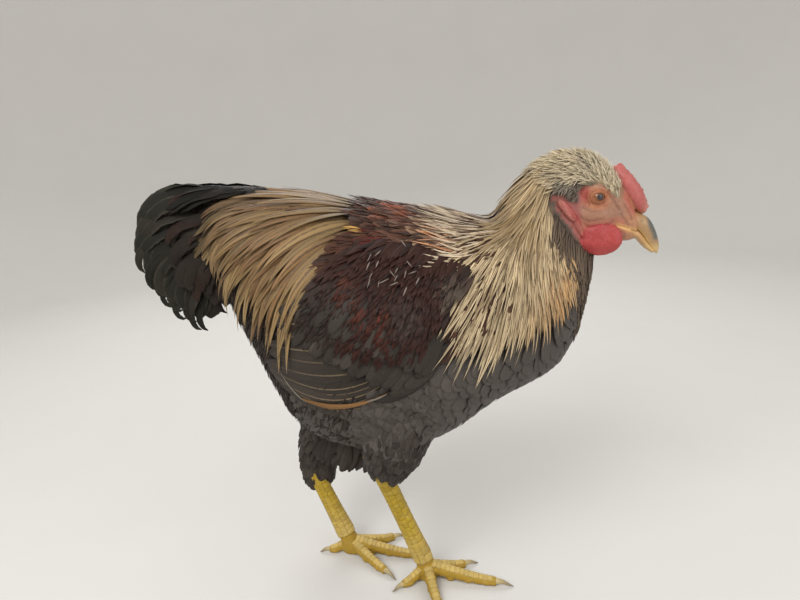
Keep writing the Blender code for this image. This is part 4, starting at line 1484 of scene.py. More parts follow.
@dataclass
class Head:
    """Bare head: face, brows, cheeks, ear lobes, wattles, comb, sockets, lids and eyes."""

    trunk: Trunk
    eye: tuple[float, float, float] = (0.1722, 0.0128, 0.3082)
    eye_radius: float = 0.0056
    gaze: tuple[float, float, float] = (0.22, 1.0, 0.05)
    lobe: tuple[float, float, float] = (0.1503, 0.0196, 0.3005)
    lobe_size: tuple[float, float, float] = (0.01, 0.0016, 0.0034)
    lobe_turn: float = 52.0
    wattle: tuple[float, float, float] = (0.175, 0.014, 0.278)
    wattle_size: tuple[float, float, float] = (0.0155, 0.0042, 0.012)
    comb_heel: tuple[float, float] = (0.189, 0.3262)
    comb_toe: tuple[float, float] = (0.2085, 0.295)
    comb_half: float = 0.01
    comb_height: float = 0.0078
    gape_line: tuple = ((0.185, 0.2875), (0.1925, 0.2847), (0.2045, 0.28))
    folds: tuple = (
        (((0.1798, 0.311), (0.1826, 0.3064), (0.1881, 0.2981)), 0.00075, 0.0009),
        (((0.1648, 0.3112), (0.1644, 0.3075), (0.1672, 0.303)), 0.0006, 0.0008),
        (((0.1625, 0.302), (0.168, 0.2985), (0.1745, 0.298)), 0.0003, 0.001),
        (((0.16, 0.295), (0.166, 0.2915), (0.176, 0.2925)), 0.00045, 0.0011),
        (((0.1925, 0.301), (0.196, 0.2955), (0.1985, 0.29)), 0.0006, 0.0009),
        (((0.189, 0.295), (0.193, 0.29), (0.195, 0.2868)), 0.00035, 0.0009)
    )

    def axes(self, side: Side) -> tuple[Array, Array, Array, Array]:
        """Centre of an eye, its gaze, and the directions forward and up across the gaze."""
        centre = np.array(self.eye) * (1.0, side.value, 1.0)
        gaze = unit(np.array(self.gaze) * (1.0, side.value, 1.0))
        ahead = np.array((1.0, 0.0, -0.18))
        ahead = unit(ahead - gaze * float(gaze @ ahead))
        up = np.cross(gaze, ahead) * side.value * -1.0
        return centre, gaze, ahead, up if up[2] > 0 else -up

    def comb_shells(self, chance: np.random.Generator) -> list[Shell]:
        """The low rose comb: a mound, many small points on it, and its spike."""
        heel = np.array((self.comb_heel[0], 0.0, self.comb_heel[1]))
        toe = np.array((self.comb_toe[0], 0.0, self.comb_toe[1]))
        along = toe - heel
        length = float(np.linalg.norm(along))
        down = math.degrees(math.atan2(-along[2], along[0]))
        middle = 0.5 * (heel + toe)
        over = np.array((-along[2], 0.0, along[0])) / length
        shells = [ball(middle, (length * 0.57, self.comb_half, self.comb_height * 0.92), down)]
        for row in range(9):
            s = (row + 0.6) / 9.2 * 2 - 1
            wide = math.sqrt(max(0.0, 1 - (s * 0.92) ** 2))
            count = max(2, int(7 * wide))
            for k in range(count):
                across = (k + 0.5 * (row % 2) - 0.5 * (count - 1)) / max(count, 2) * 1.45 * wide
                rise = math.sqrt(max(0.03, 1 - across * across - (s * 0.92) ** 2 * 0.95))
                spot = middle + along * 0.53 * s + over * self.comb_height * rise * 0.8
                spot = spot + (0.0, across * self.comb_half * 0.95, 0.0) + chance.normal(0, 0.0002, 3)
                size = chance.uniform(0.0009, 0.0013)
                shells.append(ball(spot, (size, size, size * 1.1), down + chance.uniform(-15, 25), 10, 7))
        spike = [heel + along * 0.22, heel + along * 0.02 + over * 0.0022, heel - along * 0.04 + over * 0.0042]
        shells.append(limb(spike, np.array((0.0055, 0.0036, 0.0012)), 14))
        return shells

    def shells(self, chance: np.random.Generator) -> list[Shell]:
        """All the closed meshes that make the head."""
        out = [self.trunk.shell(12, 16, 72, 1.0, (0.0035, 0.0))]
        for side in Side:
            turn = side.value
            out.append(ball((0.175, turn * 0.0118, 0.3178), (0.012, 0.004, 0.003), 14))
            out.append(ball((0.17, turn * 0.0128, 0.2945), (0.015, 0.005, 0.0085), 8))
            out.append(ball((0.19, turn * 0.0078, 0.29), (0.011, 0.004, 0.0065), 24))
            centre = np.array(self.lobe) * (1.0, turn, 1.0)
            out.append(ball(centre, self.lobe_size, self.lobe_turn))
            out.append(ball(centre + (0.0062, -0.0026 * turn, -0.0085), (0.013, 0.002, 0.0028), 64))
            points, faces = ball((0, 0, 0), self.wattle_size, 6, 40, 24)
            wave = np.sin(points[:, 0] / 0.0024 + 0.6 * turn) + 0.7 * np.sin(points[:, 2] / 0.0019)
            points[:, 1] += 0.00045 * wave * (1.0 - (points[:, 1] / self.wattle_size[1]) ** 2 * 0.3)
            points[:, 1] += turn * 0.6 * np.maximum(points[:, 2], 0.0) * -0.12
            out.append((points + np.array(self.wattle) * (1.0, turn, 1.0), faces))
            out.append(ball((0.176, turn * 0.0105, 0.287), (0.012, 0.005, 0.005), 8))
        return out + self.comb_shells(chance)

    def sculpt(self, data: bpy.types.Mesh) -> None:
        """Presses folds and fine wrinkles into the fused head."""
        points = vertex_points(data)
        normals = vertex_points(data, "normal")
        sideways = np.abs(normals[:, 1])
        press = np.zeros(len(points))
        for line, depth, width in self.folds:
            press -= depth * np.exp(-((near_line(points, line) / width) ** 2)) * ramp(sideways, 0.15, 0.5)
        mouth = near_line(points, self.gape_line)
        press -= 0.0009 * np.exp(-((mouth / 0.0007) ** 2))
        bare = inside(BARE_FACE, points[:, 0], points[:, 2])
        away = np.hypot(points[:, 0] - self.eye[0], points[:, 2] - self.eye[2])
        rings = np.sin(away / 0.00052) * np.exp(-(((away - 0.009) / 0.003) ** 2)) * 0.00012
        press += np.where(bare, rings, 0.0)
        rough = crumple(points, 420.0, 3.0) * 0.00016 + crumple(points, 900.0, 7.0) * 0.00008
        press += np.where(bare, rough, 0.0)
        lobe = np.exp(-((near_line(points, ((0.145, 0.306), (0.1545, 0.294))) / 0.0045) ** 2))
        press += lobe * np.sin((points[:, 0] * 0.8 + points[:, 2] * 0.6) / 0.0006) * 0.00022
        red = self.redness(points)
        press += red * crumple(points, 260.0, 11.0) * 0.0003
        data.vertices.foreach_set("co", (points + normals * press[:, None]).ravel())
        data.update()

    def redness(self, points: Array) -> Array:
        """How much each point belongs to the comb, a wattle or a lobe."""
        heel = np.array(self.comb_heel)
        toe = np.array(self.comb_toe)
        way = unit(toe - heel)
        flat = points[:, (0, 2)] - heel
        outward_side = flat @ np.array((-way[1], way[0]))
        comb = ramp(outward_side, -0.005, -0.003) * ramp(points[:, 0], 0.185, 0.1875)
        comb = comb * ramp(points[:, 2], 0.2925, 0.2965)
        spot = (points - np.array(self.wattle) * (1, 0, 1)) / (self.wattle_size[0], 1.0, self.wattle_size[2])
        wattle = 1.0 - ramp(np.hypot(spot[:, 0], spot[:, 2]), 0.92, 1.1)
        wattle = wattle * (points[:, 2] < 0.2895)
        return np.maximum(comb, wattle)

    def colour(self, points: Array) -> Array:
        """Skin colours of the head, with painted shade in its folds, mouth slit and comb crease, and a painted
        highlight on the lobe.

        Args:
            points: Points of the skin.

        Returns:
            Their colours.
        """
        x, z = points[:, 0], points[:, 2]
        out = np.tile(tone(152, 110, 86), (len(points), 1))
        away = np.hypot(x - self.eye[0], z - self.eye[2])
        out = mix(out, tone(176, 114, 80), np.exp(-(((away - 0.007) / 0.003) ** 2)) * 0.8)
        pink = np.exp(-(((x - 0.1635) / 0.004) ** 2) - ((z - 0.3105) / 0.006) ** 2)
        out = mix(out, tone(176, 82, 70), np.clip(pink * 1.2, 0, 1))
        brow = np.exp(-(((x - 0.176) / 0.009) ** 2) - ((z - 0.3165) / 0.0028) ** 2)
        out = mix(out, tone(182, 146, 120), brow * 0.9)
        low = ramp(-z, -0.296, -0.288) * (1 - ramp(x, 0.19, 0.2))
        out = mix(out, tone(176, 94, 76), low * 0.6)
        fore = ramp(x, 0.19, 0.198)
        out = mix(out, tone(176, 126, 90), fore * 0.8)
        gape = np.exp(-((near_line(points, ((0.185, 0.288), (0.1925, 0.2847), (0.2045, 0.28))) / 0.0016) ** 2))
        gape = gape * ramp(x, 0.184, 0.189)
        out = mix(out, tone(226, 178, 112), gape * 0.95)
        # A thin dark line along the mouth's slit is painted shade.
        mouth = np.exp(-((near_line(points, ((0.1985, 0.2822), (0.2045, 0.28))) / 0.0005) ** 2))
        out = mix(out, tone(120, 62, 34), mouth * 0.8)
        rear = ramp(-x, -0.1625, -0.1585) * (z < 0.3135)
        out = mix(out, tone(146, 80, 72), rear * 0.9)
        lobe = np.exp(-((near_line(points, ((0.15, 0.306), (0.1545, 0.2985), (0.159, 0.2925))) / 0.0022) ** 2))
        out = mix(out, tone(168, 54, 50), lobe * 0.5)
        # A pale streak on the lobe's rear edge is a painted highlight.
        gleam = np.exp(-((near_line(points, ((0.1465, 0.3085), (0.152, 0.2975))) / 0.0012) ** 2))
        out = mix(out, tone(184, 112, 104), gleam * 0.6)
        red = self.redness(points)
        comb_red = mix(np.tile(tone(174, 92, 86), (len(x), 1)), tone(186, 124, 112), ramp(x, 0.205, 0.212))
        # A deep red line along the comb's lower rear crease is painted shade.
        crease = np.exp(-((near_line(points, ((0.1935, 0.31), (0.1994, 0.2996), (0.2035, 0.2952))) / 0.0009) ** 2))
        comb_red = mix(comb_red, tone(150, 24, 26), crease * 0.8)
        pale = np.exp(-((near_line(points, ((0.1925, 0.309), (0.1985, 0.2955))) / 0.0032) ** 2))
        out = mix(out, tone(180, 98, 84), pale * 0.75)
        out = mix(out, np.where((z > 0.2915)[:, None], comb_red, tone(164, 58, 56)), red)
        # The folds are darkened with painted shade.
        for line, _, width in self.folds:
            out = mix(out, out * 0.62, np.exp(-((near_line(points, line) / width) ** 2)) * 0.7)
        return out

    def sockets(self) -> list[Shell]:
        """Balls that cut the sockets of the eyes."""
        return [ball(self.axes(side)[0], (self.eye_radius + 0.0003,) * 3, 0, 40, 28) for side in Side]

    def build_eyes(self, studio: Studio) -> list[bpy.types.Object]:
        """Smooth wet eyes, each with an iris and a pupil that face its gaze.

        Args:
            studio: Maker of the pieces.

        Returns:
            The two eyes.
        """
        made = []
        for side in Side:
            centre, gaze, ahead, up = self.axes(side)
            points, faces = ball((0, 0, 0), (1, 1, 1), 0, 48, 36)
            bulge = 1.0 + 0.05 * ramp(points[:, 2], 0.8, 0.97)
            turned = points[:, :1] * ahead + points[:, 1:2] * up + points[:, 2:] * gaze
            data = studio.shell_mesh(
                f"eye_ball_{side.word}", [faced_out(centre + turned * bulge[:, None] * self.eye_radius, faces)]
            )
            polar = np.arccos(np.clip(points[:, 2], -1, 1)) / math.radians(56)
            turn = np.arctan2(points[:, 1], points[:, 0]) / (2 * math.pi) + 0.5
            paint(data, "vane", np.column_stack((polar, turn, np.zeros(len(points)))))
            piece = studio.place(f"eye_ball_{side.word}", data, [EyeFinish("wet eye")], "eye")
            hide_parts(f"eye_{side.word}")
            made.append(piece)
        return made

    def build_lids(self, studio: Studio, face: Form, finish: FleshFinish) -> bpy.types.Object:
        """Thin creased lids round an almond opening.

        Args:
            studio: Maker of the pieces.
            face: The head's surface, which the lids run into.
            finish: Their finish.

        Returns:
            Both eyes' lids as one piece.
        """
        shells = []
        grounds = []
        around, out = 72, 26
        for side in Side:
            centre, gaze, ahead, up = self.axes(side)
            turn = 2 * math.pi * np.arange(around) / around
            cos, sin = np.cos(turn), np.sin(turn)
            opening = 1.0 / ((np.abs(cos) / 0.0044) ** 1.6 + (np.abs(sin) / 0.0029) ** 1.6) ** (1 / 1.6)
            outer = 1.0 / np.sqrt((cos / 0.0076) ** 2 + (sin / 0.0066) ** 2)
            upper = []
            for k in range(out):
                s = k / (out - 1)
                reach = opening + (outer - opening) * s
                shell_height = np.sqrt(np.maximum(self.eye_radius**2 - np.minimum(reach, 0.0052) ** 2, 0.0))
                spots = centre + (ahead * (cos * reach)[:, None] + up * (sin * reach)[:, None])
                hits = []
                for spot in spots:
                    hit = face.tree.ray_cast(Vector(spot + gaze * 0.03), Vector(-gaze))[0]
                    hits.append(float((np.array(hit[:]) - spot) @ gaze) if hit is not None else 0.0)
                level = np.array(hits)
                rim = 0.0008 * math.sin(min(1.0, s / 0.16) * math.pi / 2)
                crease = 0.00028 * math.sin(s * 22.0) * math.sin(math.pi * min(1.0, s * 1.05))
                height = mix(
                    (shell_height + rim + 0.0002)[:, None], (level - 0.0024 * s**6)[:, None],
                    np.full(around, ramp(s, 0.12, 0.62))
                )[:, 0]
                skin = level + 0.0004 * ramp(s, 0.1, 0.25) - 0.0022 * ramp(s, 0.74, 1.0)
                height = np.maximum(height, skin if s > 0.18 else 0.0) + crease
                cover = np.sqrt(np.maximum(self.eye_radius**2 - reach**2, 0.0)) + 0.00035
                height = np.where(reach < self.eye_radius, np.maximum(height, cover), height)
                upper.append(spots + gaze * height[:, None])
            upper = np.array(upper)
            lower = upper - gaze * 0.0007
            rings = np.concatenate((upper, lower[::-1]))
            shells.append(self._ring_shell(rings, around))
            shade = np.tile(tone(176, 116, 84), (len(rings) * around, 1))
            step = np.minimum(np.arange(len(rings)), 2 * out - 1 - np.arange(len(rings)))
            rim_share = np.repeat(1.0 - ramp(step, 0, 4), around)
            # The creases of the lids are darkened with painted shade.
            fold = np.repeat(0.5 - 0.5 * np.sin(step / (out - 1) * 22.0), around)
            shade = mix(shade, tone(140, 84, 60), fold * 0.45)
            shade = mix(shade, tone(120, 66, 44), rim_share * 0.8)
            grounds.append(shade)
        data = studio.shell_mesh("eyelids", shells, grounds)
        return studio.place("eyelids", data, [finish], "face")

    @staticmethod
    def _ring_shell(rings: Array, around: int) -> Shell:
        """A closed ring-shaped mesh whose last ring joins its first."""
        count = len(rings)
        faces = []
        for r in range(count):
            n = (r + 1) % count
            for k in range(around):
                m = (k + 1) % around
                faces.append((r * around + k, n * around + k, n * around + m, r * around + m))
        return faced_out(rings.reshape(-1, 3), faces)


@dataclass
class Bill:
    """The two halves of the bill as fine lofts: top and low points in the side view, and half the width."""

    upper: tuple = (
        (0.1985, 0.299, 0.199, 0.2838, 0.0078), (0.2035, 0.295, 0.2036, 0.2815, 0.0076),
        (0.2128, 0.289, 0.2075, 0.2776, 0.0064), (0.218, 0.28, 0.212, 0.2714, 0.0046),
        (0.2209, 0.27, 0.216, 0.2662, 0.0027), (0.2208, 0.2646, 0.2178, 0.2638, 0.0016),
        (0.22, 0.2622, 0.2192, 0.2626, 0.0006)
    )
    lower: tuple = (
        (0.1985, 0.2832, 0.1985, 0.276, 0.007), (0.204, 0.2812, 0.2036, 0.2742, 0.0068),
        (0.2078, 0.2774, 0.2066, 0.2709, 0.0057), (0.212, 0.2716, 0.2106, 0.2668, 0.0038),
        (0.2174, 0.2652, 0.2162, 0.263, 0.0021)
    )
    nostril: tuple[float, float, float] = (0.207, 0.0068, 0.288)
    sides: int = 40

    def half(self, rows: tuple, keel: float, flat_side: float) -> Shell:
        """One half of the bill.

        Args:
            rows: Its slices.
            keel: How much the ridge is pinched.
            flat_side: -1 where the underside is flat, 1 where the upper side is.

        Returns:
            The points and faces.
        """
        fine = curve_through(rows, 10)
        angle = 2 * math.pi * np.arange(self.sides) / self.sides
        rings = []
        for row in fine:
            half = 0.5 * math.hypot(row[0] - row[2], row[1] - row[3])
            along = unit(np.array((row[0] - row[2], row[1] - row[3])))
            spot = 0.5 * (row[0:2] + row[2:4])
            boxy = np.maximum(np.cos(angle) * flat_side, 0.0) > 0
            wide = np.where(boxy, np.sign(np.sin(angle)) * np.abs(np.sin(angle)) ** 0.4, np.sin(angle))
            side = wide * row[4] * (1.0 - keel * np.maximum(np.cos(angle), 0) ** 2)
            rise = np.cos(angle) * half
            flat = spot + along * rise[:, None]
            rings.append(np.column_stack((flat[:, 0], -side, flat[:, 1])))
        return tube(np.array(rings))

    def build(self, studio: Studio) -> list[bpy.types.Object]:
        """Both halves.

        Args:
            studio: Maker of the pieces.

        Returns:
            The upper and the lower half.
        """
        finish = HornFinish("bill horn", 0.36)
        points, faces = self.half(self.upper, 0.2, -1.0)
        for side in Side:
            away = np.linalg.norm((points - np.array(self.nostril) * (1, side.value, 1)) / (1.7, 1.0, 0.75), axis=1)
            points[:, 1] -= side.value * 0.0011 * np.exp(-((away / 0.0011) ** 2))
        x, z = points[:, 0], points[:, 2]
        ground = np.tile(tone(160, 126, 84), (len(points), 1))
        ground = mix(ground, tone(164, 116, 82), 1.0 - ramp(x, 0.201, 0.2075))
        ridge = near_line(points, ((0.2035, 0.295), (0.2128, 0.289), (0.2182, 0.28), (0.22, 0.273)))
        culmen = (1.0 - ramp(ridge, 0.0026, 0.0062)) * ramp(x, 0.2085, 0.2125) * ramp(z, 0.271, 0.2755)
        ground = mix(ground, tone(84, 86, 84), culmen * 0.95)
        ground = mix(ground, tone(186, 162, 112), ramp(-z, -0.272, -0.2665) * 0.8)
        edge = near_line(
            points, ((0.199, 0.2838), (0.2036, 0.2815), (0.2075, 0.2776), (0.212, 0.2714), (0.2172, 0.265))
        )
        ground = mix(ground, tone(198, 160, 96), (1.0 - ramp(edge, 0.0005, 0.002)) * 0.9)
        # Each nostril's dark spot is painted shade in its opening.
        for side in Side:
            away = np.linalg.norm((points - np.array(self.nostril) * (1, side.value, 1)) / (1.7, 1.0, 0.75), axis=1)
            ground = mix(ground, tone(70, 36, 24), np.exp(-((away / 0.0008) ** 2)) * 0.95)
        upper = studio.shell_mesh("bill_upper", [(points, faces)], [ground])
        low_points, low_faces = self.half(self.lower, 0.0, 1.0)
        low_ground = np.tile(tone(178, 136, 88), (len(low_points), 1))
        low_ground = mix(low_ground, tone(190, 158, 104), ramp(low_points[:, 0], 0.206, 0.213))
        lower = studio.shell_mesh("bill_lower", [(low_points, low_faces)], [low_ground])
        made = []
        for data, node in ((upper, "beak_upper"), (lower, "beak_lower")):
            piece = studio.place(data.name, data, [finish], "horn")
            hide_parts(node)
            made.append(piece)
        return made


@dataclass
class Toe:
    """A toe: its direction in degrees from straight ahead, its length, radius and claw."""

    name: str
    turn: float
    length: float
    radius: float
    claw: float


@dataclass
class Leg:
    """A bare shank and foot with horny plates, pads and claws."""

    side: Side
    hock: tuple[float, float, float]
    ankle: tuple[float, float, float]
    foot: tuple[float, float, float]
    toes: tuple[Toe, ...]
    start: float = 0.0
    radius: float = 0.007
    plates: int = 15

    def core(self) -> list[Shell]:
        """Closed meshes of the shank, the ball of the foot and the toes."""
        hock, ankle, foot = np.array(self.hock), np.array(self.ankle), np.array(self.foot)
        t = np.linspace(self.start, 1.0, 20)
        path = hock + (ankle - hock) * t[:, None]
        radii = self.radius * (0.93 + 0.2 * (2 * t - 1) ** 2)
        out = [limb(path, radii, 20, lambda step, angles: 1.0 + 0.08 * np.abs(np.sin(angles)))]
        down = unit(ankle - hock)
        stub = [
            ankle - down * 0.004, ankle + down * 0.006, foot + (0, 0, 0.0085), foot + (0, 0, 0.0036),
            foot - (0, 0, 0.001)
        ]
        out.append(limb(np.array(stub), np.array((0.007, 0.0074, 0.0082, 0.008, 0.0066)), 24))
        for toe in self.toes:
            path, radii, _ = self.toe_line(toe, 24)
            joints = max(2, round(toe.length / 0.0135))
            swell = 1.0 + 0.1 * np.cos(np.linspace(0, 1, 24) * joints * 2 * math.pi)
            out.append(limb(path, radii * swell, 18))
            for k in range(joints):
                spot = path[int((k + 0.5) / joints * 23)]
                out.append(ball((spot[0], spot[1], toe.radius * 0.55), (0.0046, 0.0046, toe.radius * 0.75)))
        return out

    def toe_line(self, toe: Toe, count: int) -> tuple[Array, Array, Array]:
        """Points and radii along the middle of a toe, and its direction.

        Args:
            toe: The toe.
            count: Points wanted.

        Returns:
            Points, radii and the direction ahead.
        """
        ahead = np.array((math.cos(math.radians(toe.turn)), math.sin(math.radians(toe.turn)), 0.0))
        t = np.linspace(0, 1, count)
        radii = toe.radius * (1.16 - 0.44 * t)
        rise = radii * 0.8 + 0.00105 * np.sin(math.pi * np.minimum(1.3 * t, 1)) + 0.0065 * (1 - t) ** 3
        path = np.array(self.foot) + ahead * (toe.length * t)[:, None]
        path[:, 2] += rise
        return path, radii, ahead

    def shank_distance(self, points: Array) -> Array:
        """Distance of points from the shank's axis, large above the hock."""
        hock, ankle = np.array(self.hock), np.array(self.ankle)
        way = ankle - hock
        t = np.clip((points - hock) @ way / (way @ way), 0, 1)
        return np.linalg.norm(points - hock - t[:, None] * way, axis=1) + (points[:, 2] > self.hock[2] + 0.002)

    def _plate(self, place: Array, ahead: Array, out: Array, size: tuple[float, float, float], lift: float) -> Shell:
        """One overlapping horny plate, curved round the limb.

        Args:
            place: Point on the limb's axis under the plate.
            ahead: Direction along the limb.
            out: Direction from the axis through the plate's middle.
            size: Radius of the limb, half the plate's length, and half the angle that it covers.
            lift: How far its lower edge stands off.

        Returns:
            The points and faces of the closed plate.
        """
        radius, half, spread = size
        aside = np.cross(ahead, out)
        along = np.linspace(-1, 1, 6)
        round_it = np.linspace(-1, 1, 7)
        u, v = np.meshgrid(along, round_it, indexing="ij")
        corner = np.sqrt(np.maximum(1.0 - 0.45 * np.abs(v) ** 3, 0.0))
        edge = np.maximum(np.abs(u), np.abs(v)) ** 5
        height = radius + 0.00012 + lift * (0.25 + 0.75 * (0.5 + 0.5 * u)) - lift * 0.85 * edge
        angle = v * spread
        shift = (u * corner * half)[..., None]
        top = place + ahead * shift + (
            out * np.cos(angle)[..., None] + aside * np.sin(angle)[..., None]
        ) * height[..., None]
        low = (radius - 0.0006) * np.ones_like(height)
        under = place + ahead * shift + (
            out * np.cos(angle)[..., None] + aside * np.sin(angle)[..., None]
        ) * low[..., None]
        points = np.concatenate((top.reshape(-1, 3), under.reshape(-1, 3)))
        rows, cols = u.shape
        base = rows * cols
        faces = []
        for i in range(rows - 1):
            for j in range(cols - 1):
                a = i * cols + j
                faces.append((a, a + cols, a + cols + 1, a + 1))
                faces.append((base + a, base + a + 1, base + a + cols + 1, base + a + cols))
        rim = [j for j in range(cols)] + [i * cols + cols - 1 for i in range(1, rows)]
        rim += [(rows - 1) * cols + j for j in range(cols - 2, -1, -1)] + [i * cols for i in range(rows - 2, 0, -1)]
        for k, a in enumerate(rim):
            b = rim[(k + 1) % len(rim)]
            faces.append((a, b, base + b, base + a))
        return faced_out(points, faces)

    def build_plates(self, studio: Studio, chance: np.random.Generator) -> bpy.types.Object:
        """Plates down the front and back of the shank and over the toes.

        Args:
            studio: Maker of the pieces.
            chance: Source of the variation.

        Returns:
            The plates as one piece.
        """
        shells = []
        grounds = []
        hock, ankle = np.array(self.hock), np.array(self.ankle)
        down = unit(ankle - hock)
        length = float(np.linalg.norm(ankle - hock))
        front = unit(np.array((1.0, 0.0, 0.0)) - down * down[0])
        side = np.cross(down, front)
        columns = (
            (-0.52, 0.62, self.plates, 0.0, 0.0005), (0.52, 0.62, self.plates, 0.5, 0.0005),
            (2.3, 0.5, self.plates + 6, 0.25, 0.0003), (-2.3, 0.5, self.plates + 6, 0.75, 0.0003),
            (1.45, 0.36, self.plates + 10, 0.4, 0.00022), (-1.45, 0.36, self.plates + 10, 0.9, 0.00022),
            (3.14, 0.34, self.plates + 8, 0.1, 0.00026)
        )
        for angle, spread, count, shift, lift in columns:
            for k in range(count):
                t = self.start + 0.04 + (1.0 - self.start) * (k + shift) / count * 0.98
                radius = self.radius * (0.93 + 0.2 * (2 * t - 1) ** 2)
                out = front * math.cos(angle) + side * math.sin(angle)
                place = hock + down * length * t
                shells.append(
                    self._plate(
                        place, down, out, (radius * 1.03, length * (1 - self.start) / count * 0.56, spread), lift
                    )
                )
                grounds.append(self._tone(chance, len(shells[-1][0]), t))
        for toe in self.toes:
            path, radii, _ = self.toe_line(toe, 60)
            count = max(5, round(toe.length / 0.0042))
            for k in range(1, count):
                spot = int((k + 0.5) / (count + 0.5) * 59)
                along = unit(path[min(spot + 1, 59)] - path[max(spot - 1, 0)])
                up = unit(np.array((0, 0, 1.0)) - along * along[2])
                size = (radii[spot] * 1.02, toe.length / count * 0.58, 0.95)
                shells.append(self._plate(path[spot], along, up, size, 0.00045))
                grounds.append(self._tone(chance, len(shells[-1][0]), 1.1))
        data = studio.shell_mesh(f"leg_plates_{self.side.word}", shells, grounds)
        return studio.place(data.name, data, [ScaleFinish("leg plates", 420.0, 0.4)], "leg")

    def _tone(self, chance: np.random.Generator, count: int, t: float) -> Array:
        """Yellow of one plate, dustier towards the toes."""
        base = mix(tone(172, 144, 42), tone(192, 166, 96), ramp(t, 0.6, 1.1))
        return np.tile(base * chance.uniform(0.86, 1.1), (count, 1))

    def build_claws(self, studio: Studio) -> bpy.types.Object:
        """Curved claws at the ends of the toes.

        Args:
            studio: Maker of the pieces.

        Returns:
            The claws as one piece.
        """
        shells = []
        grounds = []
        for toe in self.toes:
            path, radii, ahead = self.toe_line(toe, 12)
            t = np.linspace(0, 1, 14)
            spots = path[-1] + ahead * (-0.0012 + (toe.claw + 0.0012) * t)[:, None]
            size = radii[-1] * 0.74 * (1 - t) ** 0.75 + 0.00025
            spots[:, 2] = path[-1][2] + 0.0009 * np.sin(math.pi * np.minimum(t * 1.3, 1)) - 0.0024 * t**2
            spots[:, 2] = np.maximum(spots[:, 2], size * 0.82)
            points, faces = limb(spots, size, 16, lambda step, angles: 1.0 - 0.18 * np.maximum(-np.sin(angles), 0))
            points[:, 2] = np.maximum(points[:, 2], 0.0001)
            shells.append((points, faces))
            share = ramp((points - path[-1]) @ ahead / toe.claw, 0.0, 0.9)
            grounds.append(mix(np.tile(tone(178, 158, 108), (len(points), 1)), tone(126, 112, 88), share))
        data = studio.shell_mesh(f"claws_{self.side.word}", shells, grounds)
        piece = studio.place(data.name, data, [HornFinish("claw horn", 0.42)], "claw")
        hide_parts(*(f"claw_{self.side.word}_{toe.name}" for toe in self.toes))
        return piece


LEGS = (
    Leg(
        Side.RIGHT, (-0.0004, -0.0335, 0.126), (0.032, -0.018, 0.02), (0.035, -0.0178, 0.0),
        (
            Toe("inner", 18, 0.034, 0.0044, 0.012), Toe("middle", -12.5, 0.058, 0.0048, 0.014),
            Toe("outer", -76, 0.042, 0.0044, 0.012), Toe("back", -146, 0.024, 0.004, 0.01)
        )
    ),
    Leg(
        Side.LEFT, (-0.0762, 0.036, 0.105), (-0.0378, 0.0185, 0.02), (-0.0335, 0.018, 0.0),
        (
            Toe("inner", -44, 0.046, 0.0044, 0.013), Toe("middle", -12, 0.058, 0.0048, 0.014),
            Toe("outer", 20, 0.04, 0.0044, 0.012), Toe("back", 184, 0.02, 0.004, 0.009)
        ),
        start=0.32
    )
)


